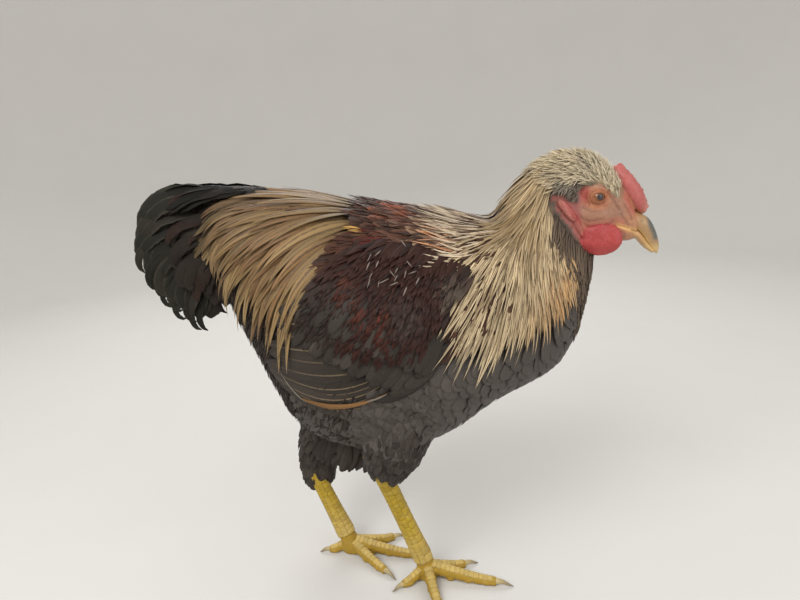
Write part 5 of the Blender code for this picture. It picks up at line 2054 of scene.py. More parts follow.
@dataclass
class Skin:
    """One skin over body, head and legs, without a seam."""

    body: Frame
    head: Head
    legs: tuple[Leg, ...]
    flesh: FleshFinish = FleshFinish("bare skin", 0.44, 900.0, 0.45, 0.12)
    down: FleshFinish = FleshFinish("down on the skin", 0.85, 300.0, 0.8, 0.0)
    horn: ScaleFinish = ScaleFinish("leg skin", 760.0, 0.46)

    def build(self, studio: Studio, chance: np.random.Generator) -> Form:
        """Builds the skin piece.

        Args:
            studio: Maker of the pieces.
            chance: Source of the variation.

        Returns:
            The head's surface, for what is laid on it.
        """
        head = studio.fused(self.head.shells(chance), 0.00055, 3)
        self.head.sculpt(head)
        face = Form(head)
        shanks = studio.fused([shell for leg in self.legs for shell in leg.core()], 0.001, 3)
        united = studio.joined([self.body.core(studio), head, shanks], "UNION")
        sockets = studio.shell_mesh("sockets", self.head.sockets())
        data = studio.joined([united, sockets], "DIFFERENCE")
        points = vertex_points(data)
        points[:, 2] = np.maximum(points[:, 2], 0.0)
        data.vertices.foreach_set("co", points.ravel())
        data.update()
        data.name = "skin"
        kinds = self.kinds(points)
        ground = np.where((kinds == Part.LEG.value)[:, None], tone(166, 134, 46), self.undercoat(points))
        ground = np.where((kinds == Part.FLESH.value)[:, None], self.head.colour(points), ground)
        paint(data, "ground", ground)
        middles = np.empty(len(data.polygons) * 3)
        data.polygons.foreach_get("center", middles)
        face_kinds = self.kinds(middles.reshape(-1, 3))
        piece = studio.place("skin", data, [self.flesh, self.down, self.horn], "face")
        data.polygons.foreach_set("material_index", face_kinds.astype(np.int32))
        data.polygons.foreach_set("use_smooth", np.ones(len(data.polygons), bool))
        data.update()
        sides = [side.word for side in Side]
        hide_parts("torso", "rump", "neck", "tail", "head", "comb")
        for node in ("wing", "thigh", "shank", "foot", "earlobe", "wattle"):
            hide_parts(*(f"{node}_{word}" for word in sides))
        return face

    def kinds(self, points: Array) -> Array:
        """Kind of skin at each point."""
        out = np.full(len(points), Part.UNDERCOAT.value)
        bare = inside(BARE_FACE, points[:, 0], points[:, 2]) | (self.head.redness(points) > 0.3)
        out[bare & (points[:, 2] > 0.25)] = Part.FLESH.value
        for leg in self.legs:
            path, radii = self.body.thigh_line(leg.side)
            away = np.linalg.norm(points[:, None] - path[None], axis=2) - (radii - self.body.thigh_depth)[None]
            thigh = away.min(axis=1) < 0.0012
            shank = (leg.shank_distance(points) < 0.011) & ~thigh
            low = (points[:, 2] < 0.024) & (points[:, 1] * leg.side.value > 0)
            out[shank | low] = Part.LEG.value
        return out

    @staticmethod
    def undercoat(points: Array) -> Array:
        """Colour of the down that shows between the feathers."""
        x, z = points[:, 0], points[:, 2]
        out = np.tile(tone(48, 42, 38), (len(points), 1))
        neck = ramp(x, 0.075, 0.1) * ramp(z, 0.205, 0.235)
        out = mix(out, tone(150, 128, 96), neck)
        out = mix(out, tone(160, 144, 114), ramp(x, 0.12, 0.14) * ramp(z, 0.295, 0.31))
        strip = ramp(x + 0.35 * z, 0.2425, 0.2455) * ramp(-z, -0.32, -0.316) * (1 - ramp(x, 0.172, 0.176))
        out = mix(out, tone(84, 72, 62), strip)
        out = mix(out, tone(150, 110, 86), ramp(x, 0.187, 0.189))
        top = ramp(z, 0.235, 0.265) * (1 - ramp(x, 0.06, 0.09)) * ramp(x, -0.02, 0.01)
        out = mix(out, tone(44, 20, 16), top)
        saddle = ramp(z, 0.24, 0.265) * (1 - ramp(x, -0.03, 0.005))
        return mix(out, tone(58, 38, 24), saddle)


def toward(x: float, y: float, z: float) -> Flow:
    """A flow in one direction, with the sideways part away from the middle."""
    way = np.array((x, y, z))

    def flow(spots: Array) -> Array:
        """The direction at each place."""
        return way * np.column_stack((np.ones(len(spots)), np.sign(spots[:, 1]), np.ones(len(spots))))

    return flow


def falling(angles: Array, outward: float, spots: Array) -> Array:
    """Directions backward, tipped down by angles in degrees, and outward by a factor."""
    angles = np.radians(angles)
    return np.column_stack((-np.cos(angles), outward * spots[:, 1], -np.sin(angles)))


def hackle_flow(spots: Array) -> Array:
    """Away from a pole on the crown, down the neck."""
    return np.column_stack((spots[:, 0] - 0.147, 0.1 * spots[:, 1], spots[:, 2] - 0.348))


def silver_flow(spots: Array) -> Array:
    """Down the neck's root, then sweeping backward and a little up over the shoulder."""
    return falling(-14.0 + 66.0 * ramp(spots[:, 0], 0.056, 0.106), 1.6, spots)


def saddle_flow(spots: Array) -> Array:
    """Backward on the back, and steeper down on the sides."""
    return falling(8.0 + 62.0 * np.clip((0.328 - spots[:, 2]) / 0.08, 0, 1), 3.0, spots)


def back_flow(spots: Array) -> Array:
    """Backward over the back, then down and back over the shoulder and the wing's bow."""
    return falling(4.0 + 60.0 * ramp(-spots[:, 2], -0.308, -0.245), 1.4, spots)


def crown_flow(spots: Array) -> Array:
    """Up and back over the brow, then back along the crown."""
    return falling(8.0 - 62.0 * ramp(spots[:, 0], 0.148, 0.182), 0.4, spots)


def breast_flow(spots: Array) -> Array:
    """Down the front of the breast, then backward under it."""
    return falling(36.0 + 46.0 * ramp(spots[:, 0], 0.105, 0.15), 1.2, spots)


# Edges in the side view: of the area that the saddle's tips reach, of the area that the hackle's tips reach,
# of the area where the hackle grows, of the area that the back's tips reach, of the flight feathers,
# of the area that the tips of the right thigh's feathers reach, and of what the silver strands leave free.
SADDLE_TIPS = (
    (-0.002, 0.345), (-0.001, 0.308), (0.0, 0.296), (-0.006, 0.289), (-0.017, 0.278), (-0.0235, 0.266),
    (-0.037, 0.24), (-0.05, 0.221), (-0.068, 0.221), (-0.08, 0.228), (-0.1, 0.246), (-0.118, 0.258),
    (-0.145, 0.265), (-0.145, 0.345)
)
HACKLE_TIPS = (
    (0.043, 0.235), (0.045, 0.226), (0.056, 0.213), (0.08, 0.203), (0.1, 0.204), (0.112, 0.209),
    (0.13, 0.221), (0.143, 0.229), (0.155, 0.242), (0.163, 0.262), (0.167, 0.28), (0.15, 0.35),
    (0.108, 0.35), (0.0985, 0.301), (0.093, 0.282), (0.0868, 0.2665), (0.0727, 0.2575), (0.056, 0.247),
    (0.049, 0.239)
)
HACKLE_ROOTS = (
    (0.05, 0.23), (0.164, 0.23), (0.162, 0.26), (0.152, 0.278), (0.1425, 0.293), (0.137, 0.308),
    (0.139, 0.32), (0.15, 0.36), (0.05, 0.36)
)
BACK_TIPS = (
    (0.001, 0.345), (0.0, 0.3076), (-0.01, 0.291), (-0.02, 0.2812), (-0.03, 0.265), (-0.03, 0.2),
    (0.15, 0.2), (0.15, 0.345)
)
FLIGHTS = (
    (0.034, 0.206), (0.025, 0.196), (0.0, 0.186), (-0.03, 0.185), (-0.05, 0.19), (-0.07, 0.205),
    (-0.07, 0.25), (0.03, 0.25)
)
THIGH_TIPS = (
    (-0.03, 0.2), (-0.026, 0.12), (-0.01, 0.112), (-0.002, 0.108), (0.006, 0.103), (0.016, 0.096),
    (0.05, 0.09), (0.09, 0.2)
)
SILVER_END = (
    (0.03, 0.269), (0.062, 0.268), (0.086, 0.2725), (0.1, 0.26), (0.1, 0.2), (0.03, 0.2)
)


@dataclass
class Plumage:
    """The feathers of head, neck and body, tract by tract."""

    coat: Coat
    tracts: Tracts
    crown_finish: PlumageFinish = PlumageFinish(
        "crown bristles", 0.7, 0.2, (9.0, 1.5), 0.2, 0.3, tone(214, 200, 172), 0.22, 0.2
    )
    hackle_finish: PlumageFinish = PlumageFinish(
        "hackle", 0.58, 0.12, (26.0, 5.0), 0.5, 0.4, tone(206, 190, 156), 0.22, 0.25
    )
    saddle_finish: PlumageFinish = PlumageFinish(
        "saddle hackle", 0.46, 0.05, (44.0, 7.0), 0.6, 0.4, tone(204, 180, 134), 0.22, 0.22
    )
    back_finish: PlumageFinish = PlumageFinish(
        "mahogany back", 0.36, 0.0, (20.0, 6.0), 0.9, 0.5, tone(120, 60, 36), 0.22, 0.12
    )
    breast_finish: PlumageFinish = PlumageFinish(
        "slate breast", 0.5, 0.02, (18.0, 9.0), 0.9, 0.4, tone(120, 110, 98), 0.12, 0.12
    )
    down_finish: PlumageFinish = PlumageFinish(
        "loose down", 0.8, 0.06, (16.0, 6.0), 0.9, 0.4, tone(104, 94, 84), 0.22, 0.1
    )

    @staticmethod
    def steps(roots: Roots, flow: Flow, length: float) -> list[Array]:
        """Places along the feathers of the roots, seen from the side."""
        spots = [roots.spots]
        for _ in range(6):
            way = flow(spots[-1])
            way[:, 1] = 0.0
            spots.append(spots[-1] + unit(way) * length / 6)
        return spots

    def clear(self, roots: Roots, flow: Flow, length: float, *edges: Edge) -> Roots:
        """The roots whose feathers stay out of some areas of the side view."""
        keep = np.ones(len(roots.spots), bool)
        for spots in self.steps(roots, flow, length):
            for edge in edges:
                keep &= ~inside(edge, spots[:, 0], spots[:, 2])
        return roots.chosen(keep)

    def ending(self, roots: Roots, flow: Flow, length: float, edge: Edge) -> Roots:
        """The roots whose feathers end inside an edge in the side view.

        Args:
            roots: The roots.
            flow: Direction of the feathers.
            length: Their usual length.
            edge: Corners of the edge.

        Returns:
            Those that are kept.
        """
        tips = self.steps(roots, flow, length)[-1]
        tips = tips + self.tracts.chance.normal(0, 0.002, tips.shape)
        return roots.chosen(inside(edge, tips[:, 0], tips[:, 2]))

    def hackled(self, roots: Roots, length: float) -> Roots:
        """The hackle roots whose feathers end inside the hackle's edge."""
        roots = self.ending(roots, hackle_flow, length, HACKLE_TIPS)
        return roots.chosen(inside(HACKLE_ROOTS, roots.spots[:, 0], roots.spots[:, 2]))

    def build_neck(self) -> None:
        """Hackle: long soft cream strands with dark streaks, tan at the nape and at its lower front edge, and painted
        shade at its lower rear.
        """
        look = Colouring(
            ((204, 184, 148), (182, 158, 120)), ((112, 92, 70), (102, 82, 58)), (0.26, 0.25, 0.25),
            (0.12, (130, 108, 80)),
            (
                Blush(0.148, 0.264, 0.026, (196, 148, 90), (132, 90, 52), 0.65),
                Blush(0.13, 0.26, 0.016, (180, 138, 88), (104, 74, 46), 0.4),
                # The dark patch at the hackle's lower rear is painted shade.
                Blush(0.079, 0.23, 0.034, (80, 68, 54), (34, 28, 24), 0.9),
                Blush(0.119, 0.318, 0.03, (142, 118, 82), (100, 80, 54), 0.84)
            )
        )
        finish = self.hackle_finish
        under = Style(
            "hackle_under", finish, look, hackle_flow, (0.046, 0.04), 0.0024, Tip.POINTED, (8, 6, 3),
            (0.005, 0.0, 0.0008), 0.3, 0.05, 0.1, 0.25
        )
        roots = self.tracts.on_trunk((6.9, 12.4), (10, 0, 112, 118), 0.0054, 0.0027)
        self.coat.cover(under, self.hackled(roots, 0.05), "straw")
        outer = Style(
            "hackle", finish, look, hackle_flow, (0.052, 0.036), 0.0013, Tip.POINTED, (10, 7, 3),
            (0.003, 0.0006, 0.0024), 0.45, 0.06, 0.1, 0.35, 0.0006, 0.3
        )
        roots = self.tracts.on_trunk((6.9, 12.7), (10, 0, 112, 114), 0.006, 0.0019)
        sets = [self.coat.laid(outer, self.hackled(roots, 0.045))]
        roots = self.ending(
            self.tracts.on_trunk((9.4, 12.4), (56, 50, 126, 118), 0.0058, 0.0019), hackle_flow, 0.024, HACKLE_TIPS
        )
        roots = roots.chosen(
            inside(HACKLE_ROOTS, roots.spots[:, 0], roots.spots[:, 2]) & (roots.spots[:, 0] > 0.134)
        )
        sets.append(self.coat.laid(replace(outer, length=(0.03, 0.024)), roots))
        self.coat.piece(outer, sets, "straw")

    def build_head(self) -> None:
        """Crown bristles, the dark ear tuft, and the dark strip behind the lobe and down the throat."""
        finish = self.crown_finish
        look = Colouring(
            ((202, 184, 150), (220, 207, 180)), ((132, 116, 92), (112, 100, 84)), (0.2, 0.0, 0.0),
            (0.12, (116, 106, 90)),
            (
                Blush(0.17, 0.328, 0.012, (182, 170, 146), (92, 84, 74), 0.45),
                Blush(0.15, 0.324, 0.01, (166, 150, 128), (96, 86, 74), 0.6),
                Blush(0.13, 0.318, 0.018, (172, 150, 114), (118, 98, 70), 0.8)
            )
        )
        crown = Style(
            "crown", finish, look, crown_flow, (0.0135, 0.0074), 0.0009, Tip.LOOSE, (5, 4, 3),
            (0.0026, 0.0008, 0.0038), 0.5, 0.3, 0.12, 0.5
        )
        roots = self.tracts.on_trunk((11.6, 15.55), (0, 0, 96, 80), 0.0019, 0.00135)
        self.coat.cover(crown, self.clear(roots, crown_flow, 0.009, BARE_FACE, EAR), "straw")
        grey = Blush(0.151, 0.3225, 0.011, (148, 138, 122), (96, 88, 78), 1.0)
        look = Colouring(((108, 94, 82),) * 2, ((62, 54, 48),) * 2, (0.28, 0.0, 0.0), blushes=(grey,))
        ear = Style(
            "ear_tuft", finish, look, toward(-0.75, 0.2, -0.75), (0.008, 0.0066), 0.0007, Tip.LOOSE, (5, 3, 3),
            (0.0016, 0.0006, 0.0022), 0.5, 0.3, 0.12, 0.4
        )
        roots = self.tracts.on_trunk((11.6, 14.2), (50, 54, 104, 92), 0.0018, 0.0013)
        x, z = roots.spots[:, 0], roots.spots[:, 2]
        roots = roots.chosen((x > 0.143) & (x < 0.162) & (z > 0.3045) & (z < 0.324))
        self.coat.cover(ear, self.clear(roots, ear.flow, 0.0062, BARE_FACE), "straw")
        look = Colouring(((96, 82, 68), (112, 96, 80)), ((54, 46, 42),) * 2, (0.3, 0.0, 0.0))
        throat = Style(
            "throat", self.down_finish, look, toward(-0.3, 0.1, -1.0), (0.024, 0.013), 0.0014, Tip.BLADE, (6, 4, 3),
            (0.003, 0.0002, 0.0016), 0.35, 0.12, 0.12, 0.3
        )
        roots = self.tracts.on_trunk((9.6, 14.3), (90, 50, 180, 180), 0.0026, 0.0017)
        roots = self.clear(roots, throat.flow, 0.014, BARE_FACE)
        x, z = roots.spots[:, 0], roots.spots[:, 2]
        keep = (x < 0.179) & (z < 0.313) & ~inside(HACKLE_ROOTS, x + 0.0015, z)
        self.coat.cover(throat, roots.chosen(keep), "coat_dark")

    def build_back(self) -> None:
        """Glossy mahogany back and shoulders, and the silver strands behind the neck."""
        look = Colouring(
            ((76, 48, 36), (78, 54, 42)), ((38, 26, 21),) * 2, (0.2, 0.1, 0.3), (0.34, (52, 38, 32)),
            (
                Blush(0.004, 0.308, 0.009, (128, 78, 50), (80, 46, 32), 0.6),
                Blush(0.006, 0.306, 0.008, (190, 92, 50), (130, 60, 36), 0.9),
                Blush(0.014, 0.3, 0.0045, (206, 164, 88), (170, 122, 66), 0.9),
                Blush(0.026, 0.293, 0.009, (98, 40, 36), (62, 28, 26), 0.8),
                Blush(0.046, 0.306, 0.009, (158, 82, 52), (100, 50, 36), 0.85),
                Blush(0.044, 0.296, 0.012, (106, 76, 62), (60, 42, 36), 0.6),
                Blush(0.02, 0.24, 0.026, (92, 44, 28), (40, 22, 18), 0.6),
                Blush(-0.018, 0.256, 0.024, (54, 46, 40), (28, 24, 24), 0.8),
                Blush(0.052, 0.256, 0.02, (68, 50, 46), (36, 28, 28), 0.6),
                Blush(0.078, 0.296, 0.024, (170, 140, 114), (70, 44, 34), 0.7)
            ),
            0.2
        )
        finish = self.back_finish
        under = Style(
            "back", finish, look, back_flow, (0.034, 0.026), 0.004, Tip.BLADE, (8, 5, 5), (0.006, 0.0002, 0.001),
            0.2, 0.08
        )
        roots = self.tracts.on_trunk((3.8, 8.2), (0, 0, 88, 78), 0.0066, 0.0052)
        roots = self.ending(roots, back_flow, 0.026, BACK_TIPS)
        self.coat.cover(under, self.coat.uncovered(roots, 0.0035), "coat_dark")
        strands = Style(
            "back_strands", finish, look, back_flow, (0.022, 0.02), 0.0016, Tip.POINTED, (7, 4, 3),
            (0.0016, 0.0006, 0.0018), 0.4, 0.14, 0.1, 0.25
        )
        roots = self.tracts.on_trunk((3.7, 8.3), (0, 0, 86, 74), 0.0048, 0.003)
        roots = self.ending(roots, back_flow, 0.018, BACK_TIPS)
        self.coat.cover(strands, self.coat.uncovered(roots, 0.003), "coat_dark")
        look = Colouring(
            ((210, 192, 164), (190, 170, 142)), ((84, 64, 52),) * 2, (0.22, 0.3, 0.2), (0.3, (94, 70, 57)),
            (Blush(0.08, 0.286, 0.01, (204, 128, 76), (110, 60, 36), 0.6),)
        )
        silver = Style(
            "silver_shoulder", self.hackle_finish, look, silver_flow, (0.036, 0.046), 0.0012, Tip.POINTED, (11, 8, 3),
            (0.0016, 0.0016, 0.0044), 0.4, 0.12, 0.08, 0.3
        )
        roots = self.tracts.on_trunk((6.6, 9.6), (0, 6, 78, 80), 0.0046, 0.003)
        roots = roots.chosen(~inside(HACKLE_TIPS, roots.spots[:, 0] - 0.012, roots.spots[:, 2]))
        self.coat.cover(silver, self.clear(roots, silver_flow, 0.038, SILVER_END), "straw")

    def build_saddle(self) -> None:
        """Saddle hackle: long curved straw feathers with pointed tips over a brown ground."""
        finish = self.saddle_finish
        look = Colouring(((88, 64, 42),) * 2, ((46, 32, 24),) * 2, (0.3, 0.0, 0.0))
        under = Style(
            "saddle_under", finish, look, saddle_flow, (0.03, 0.046), 0.0036, Tip.POINTED, (7, 5, 3),
            (0.007, -0.0006, 0.0002), 0.25, 0.06
        )
        roots = self.tracts.on_trunk((0.15, 4.4), (6, 0, 96, 70), 0.0072, 0.0048)
        self.coat.cover(under, self.ending(roots, saddle_flow, 0.042, SADDLE_TIPS), "straw")
        look = Colouring(
            ((146, 124, 84), (132, 108, 71)), ((88, 66, 44), (80, 58, 38)), (0.2, 0.45, 0.5), (0.14, (104, 80, 54)),
            (
                Blush(-0.018, 0.308, 0.022, (108, 78, 50), (62, 44, 30), 0.8),
                Blush(-0.004, 0.302, 0.01, (132, 94, 60), (80, 54, 36), 0.5),
                Blush(-0.052, 0.312, 0.02, (118, 92, 60), (72, 54, 36), 0.6),
                Blush(-0.088, 0.331, 0.03, (30, 24, 18), (20, 17, 13), 1.0),
                Blush(-0.058, 0.331, 0.022, (48, 37, 26), (30, 24, 18), 1.0),
                Blush(-0.032, 0.329, 0.018, (84, 62, 40), (46, 34, 24), 0.9)
            )
        )
        outer = Style(
            "saddle", finish, look, saddle_flow, (0.05, 0.076), 0.0037, Tip.POINTED, (14, 10, 5),
            (0.0036, 0.001, 0.005), 0.28, 0.07, 0.05, 0.22
        )
        roots = self.tracts.on_trunk((0.3, 4.5), (2, 0, 84, 62), 0.0074, 0.0058)
        roots = self.ending(roots, saddle_flow, 0.06, SADDLE_TIPS)
        wing = (roots.spots[:, 0] > -0.066) & (np.abs(roots.spots[:, 1]) > 0.03)
        sets = [self.coat.laid(outer, roots.chosen(~wing))]
        sets.append(self.coat.laid(replace(outer, lie=(0.009, 0.001, 0.004), base=0.0036), roots.chosen(wing)))
        self.coat.piece(outer, sets, "straw")

    def build_breast(self) -> None:
        """Breast and belly: broad flat slate feathers with thin dark rims."""
        finish = self.breast_finish
        look = Colouring(((80, 74, 70), (74, 69, 65)), ((60, 55, 51),) * 2, (0.0, 0.4, 0.1), vary=0.1)
        breast = Style(
            "breast", finish, look, breast_flow, (0.03, 0.024), 0.0076, Tip.ROUNDED, (10, 5, 7),
            (0.006, 0.0, 0.0004), 0.06, 0.08, 0.04, 0.02
        )
        roots = self.tracts.on_trunk((5.0, 11.4), (84, 128, 184, 184), 0.0076, 0.0068)
        roots = self.clear(roots, breast_flow, 0.022, FLIGHTS)
        self.coat.cover(breast, self.coat.uncovered(roots, 0.006), "coat_dark")
        look = Colouring(((74, 68, 63),) * 2, ((52, 47, 43),) * 2, (0.0, 0.35, 0.1), vary=0.12)
        belly = Style(
            "belly", finish, look, toward(-1.0, 0.1, 0.02), (0.026, 0.026), 0.0066, Tip.ROUNDED, (9, 4, 5),
            (0.006, 0.0, 0.0005), 0.08, 0.14, 0.1, 0.04
        )
        roots = self.tracts.on_trunk((3.8, 6.4), (92, 88, 184, 184), 0.008, 0.0066)
        roots = self.clear(roots, belly.flow, 0.02, FLIGHTS)
        self.coat.cover(belly, self.coat.uncovered(roots, 0.012), "coat_dark")

    def build_down(self, body: Frame) -> None:
        """Loose down of the abdomen, under the tail and over the thighs.

        Args:
            body: The body's shapes, for the thighs.
        """
        finish = self.down_finish
        look = Colouring(((58, 50, 44),) * 2, ((33, 28, 25),) * 2, (0.22, 0.2, 0.0), (0.3, (43, 37, 33)))
        fluff = Style(
            "abdomen", finish, look, toward(-0.5, 0.15, -0.85), (0.024, 0.026), 0.0026, Tip.LOOSE, (6, 4, 3),
            (0.0056, 0.0, 0.0014), 0.3, 0.2, 0.25, 0.25
        )
        roots = self.tracts.on_trunk((0.0, 4.7), (66, 84, 180, 180), 0.0048, 0.0038)
        self.coat.cover(fluff, roots, "coat_dark")
        look = Colouring(((62, 56, 51),) * 2, ((34, 30, 28),) * 2, (0.0, 0.45, 0.0), (0.3, (48, 43, 40)))
        thigh = Style(
            "thighs", finish, look, toward(-0.3, 0.0, -1.0), (0.022, 0.014), 0.0036, Tip.ROUNDED, (7, 4, 5),
            (0.004, 0.0, 0.0012), 0.22, 0.16, 0.16, 0.15
        )
        sets = []
        for side in Side:
            path, radii = body.thigh_line(side)
            roots = self.coat.uncovered(self.tracts.on_limb(path, radii, side, 0.0052, 0.0048), 0.004)
            if side is Side.RIGHT:
                roots = self.ending(roots, thigh.flow, 0.017, THIGH_TIPS)
            sets.append(self.coat.laid(thigh, roots))
        self.coat.piece(thigh, sets, "coat_dark")


    def build_fluff(self) -> None:
        """Fluff that hangs from the belly between the thighs."""
        chance, count, steps = self.coat.chance, 420, 5
        look = Colouring(((64, 58, 53),) * 2, ((36, 32, 30),) * 2, (0.0, 0.4, 0.0), (0.3, (50, 45, 41)))
        style = Style(
            "belly_fluff", self.down_finish, look, toward(0, 0, -1), (0.03, 0.03), 0.0044, Tip.ROUNDED, (7, steps, 5),
            (0.0, -0.0008, 0.0012), 0.2, 0.0, 0.2, 0.35
        )
        x = chance.uniform(-0.048, 0.004, count)
        y = chance.uniform(-0.02, 0.034, count)
        low = np.interp(
            x, (-0.048, -0.034, -0.026, -0.018, -0.008, 0.004), (0.114, 0.105, 0.098, 0.095, 0.096, 0.106)
        )
        root = np.column_stack((x + 0.004, y, np.full(count, 0.136)))
        tip = np.column_stack((x - 0.004, y * 0.8, low + (0.13 - low) * chance.random(count) ** 2 * 0.8))
        t = np.linspace(0, 1, steps + 1)[:, None]
        places = root[:, None] * (1 - t) + tip[:, None] * t
        places[..., 0] += 0.003 * np.sin(math.pi * t[:, 0])
        normals = np.zeros_like(places)
        normals[..., 1] = np.where(y < 0.004, -1.0, 1.0)[:, None]
        patches = np.column_stack((0.02 + 0.06 * (3.0 + (x + 0.04) / 0.033), 0.68 - 1.1 * y))
        plumes = self.coat.dressed(style, places, normals, Roots(root, patches, np.full(count, 0.5)))
        self.coat.piece(style, [plumes], "coat_dark")


@dataclass
class Wing:
    """A folded wing: laced coverts over flight feathers that lie like shingles."""

    side: Side
    coat: Coat
    tracts: Tracts
    flight_finish: PlumageFinish = PlumageFinish(
        "flight feathers", 0.44, 0.0, (40.0, 14.0), 0.9, 0.5, tone(172, 150, 118), 0.22, 0.12
    )
    covert_finish: PlumageFinish = PlumageFinish(
        "wing coverts", 0.44, 0.0, (24.0, 9.0), 1.0, 0.5, tone(96, 84, 72), 0.22, 0.12
    )
    bow_finish: PlumageFinish = PlumageFinish(
        "wing bow", 0.4, 0.0, (14.0, 7.0), 0.8, 0.4, tone(110, 60, 40), 0.1, 0.12
    )

    def row(
        self, style: Style, count: int, root: Sequence[float], tip: Sequence[float], sag: Sequence[float],
        base: Sequence[float]
    ) -> Plumes:
        """One row of feathers, from the lowest to the highest.

        Args:
            style: Their shape and colours.
            count: How many.
            root: x and z of the lowest feather's root, then of the highest's.
            tip: The same for the tips.
            sag: How far the lowest and the highest bow down.
            base: Height of the lowest and the highest over the wing.

        Returns:
            The feathers.
        """
        s = np.linspace(0, 1, count)[:, None]
        t = np.linspace(0, 1, style.grid[1] + 1)[None, :]
        stray = self.coat.chance.normal(0, 0.0014, (count, 2))
        root_x, root_z = root[0] + (root[2] - root[0]) * s, root[1] + (root[3] - root[1]) * s
        tip_x, tip_z = tip[0] + (
            tip[2] - tip[0]
        ) * s + stray[:, :1], tip[1] + (tip[3] - tip[1]) * s + 0.6 * stray[:, 1:]
        x = root_x + (tip_x - root_x) * t
        z = root_z + (tip_z - root_z) * t - (sag[0] + (sag[1] - sag[0]) * s) * 4 * t * (1 - t)
        places, normals = self.coat.form.from_side(x.ravel(), z.ravel(), self.side)
        places = places.reshape(count, -1, 3)
        normals = unit(normals.reshape(count, -1, 3))
        corner = 0.52 if self.side is Side.RIGHT else 0.77
        patches = np.column_stack((corner + (root_x[:, 0] + 0.09) * 1.1, 0.74 + (root_z[:, 0] - 0.15) * 1.3))
        roots = Roots(places[:, 0], patches, s[:, 0])
        return self.coat.dressed(style, places, normals, roots, base[0] + (base[1] - base[0]) * s[:, 0])

    def build(self) -> None:
        """Flight feathers, greater and middle coverts, and the glossy bow."""
        word, rear = self.side.word, toward(-1, 0, 0)
        look = Colouring(((60, 53, 47),) * 2, ((34, 30, 28),) * 2, (0.0, 0.35, 0.9))
        flight = Style(
            f"flights_{word}", self.flight_finish, look, rear, (0.08, 0.08), 0.0068, Tip.ROUNDED, (18, 12, 7),
            (0.003, 0.0002, 0.0008), 0.1, 0.0, 0.03, 0.03
        )
        low = self.row(
            flight, 5, (0.028, 0.198, 0.02, 0.208), (-0.06, 0.199, -0.066, 0.208), (0.022, 0.013), (0.0006, 0.0014)
        )
        high = self.row(
            flight, 6, (0.018, 0.214, 0.0, 0.258), (-0.064, 0.213, -0.05, 0.25), (0.006, 0.0), (0.0018, 0.003)
        )
        self.coat.piece(flight, [low, high], "wing")
        look = Colouring(((140, 102, 62),) * 2, ((96, 62, 40),) * 2, (0.0, 0.5, 0.4))
        pale = Colouring(((136, 130, 120),) * 2, ((110, 100, 90),) * 2, (0.0, 0.5, 0.4))
        edge = Style(
            f"wing_edge_{word}", self.flight_finish, look, rear, (0.06, 0.06), 0.0021, Tip.POINTED, (14, 10, 5),
            (0.0004, 0.0, 0.0004), 0.3, 0.0, 0.03, 0.02
        )
        lowest = self.row(edge, 1, (-0.043, 0.1858, 0, 0), (0.023, 0.1935, 0, 0), (0.0082, 0), (0.002, 0))
        thin = replace(edge, colouring=pale, half_width=0.0008)
        tip = self.row(thin, 1, (-0.038, 0.1828, 0, 0), (-0.0572, 0.208, 0, 0), (0.0046, 0), (0.002, 0))
        # The glint is a thin pale strand laid along the edge as a painted highlight.
        glint = self.row(thin, 1, (0.004, 0.1866, 0, 0), (0.019, 0.1938, 0, 0), (0.001, 0), (0.0026, 0))
        self.coat.piece(edge, [lowest, tip, glint], "wing")
        look = Colouring(((54, 49, 44),) * 2, ((31, 28, 25),) * 2, (0.0, 0.5, 0.35), (0.2, (68, 62, 56)))
        covert = Style(
            f"coverts_{word}", self.covert_finish, look, rear, (0.04, 0.04), 0.0052, Tip.ROUNDED, (12, 7, 7),
            (0.0026, 0.0004, 0.0014), 0.16, 0.0, 0.07, 0.09
        )
        greater = self.row(
            covert, 14, (0.05, 0.222, -0.012, 0.266), (0.026, 0.192, -0.038, 0.23), (0.002, 0.0), (0.002, 0.003)
        )
        middle = self.row(
            covert, 13, (0.06, 0.238, 0.004, 0.28), (0.044, 0.203, -0.022, 0.242), (0.002, 0.0), (0.0026, 0.0034)
        )
        front = self.row(
            covert, 4, (0.05, 0.203, 0.062, 0.224), (0.01, 0.188, 0.04, 0.202), (0.004, 0.002), (0.0016, 0.0026)
        )
        self.coat.piece(covert, [front, greater, middle], "wing")
        look = Colouring(
            ((54, 33, 28),) * 2, ((34, 24, 21),) * 2, (0.1, 0.0, 0.0), (0.2, (42, 32, 28)),
            (
                Blush(0.018, 0.244, 0.026, (54, 26, 21), (34, 21, 18), 0.6),
                Blush(-0.012, 0.26, 0.026, (46, 41, 37), (30, 27, 25), 0.85),
                Blush(0.044, 0.256, 0.016, (62, 50, 46), (40, 34, 31), 0.8),
                Blush(0.076, 0.266, 0.014, (84, 73, 64), (52, 45, 40), 0.9),
                Blush(0.008, 0.274, 0.01, (76, 42, 31), (50, 29, 23), 0.6),
                Blush(0.016, 0.262, 0.008, (82, 40, 28), (52, 28, 21), 0.6),
                Blush(0.03, 0.258, 0.006, (92, 43, 28), (58, 30, 21), 0.7),
                Blush(0.03, 0.245, 0.007, (78, 38, 27), (50, 27, 21), 0.6)
            ),
            0.16
        )
        bow = Style(
            f"wing_bow_{word}", self.bow_finish, look, toward(-0.55, 0.0, -0.85), (0.021, 0.024), 0.0026, Tip.POINTED,
            (7, 4, 5), (0.005, 0.0003, 0.001), 0.14, 0.12, 0.22, 0.1, 0.004
        )
        area = (
            (0.084, 0.276, 0.269), (0.072, 0.281, 0.261), (0.06, 0.286, 0.248), (0.05, 0.29, 0.234),
            (0.03, 0.295, 0.232), (0.008, 0.293, 0.238), (-0.01, 0.282, 0.248), (-0.026, 0.263, 0.254)
        )
        roots = self.tracts.on_side(self.coat.form, self.side, np.array(area), 0.003, 0.0023)
        self.coat.cover(bow, roots, "coat_dark")
        # Thin pale strands over the bow are painted highlights, the glints of its sheen.
        look = Colouring(((128, 116, 108),) * 2, ((84, 74, 68),) * 2, (0.0, 0.0, 0.0))
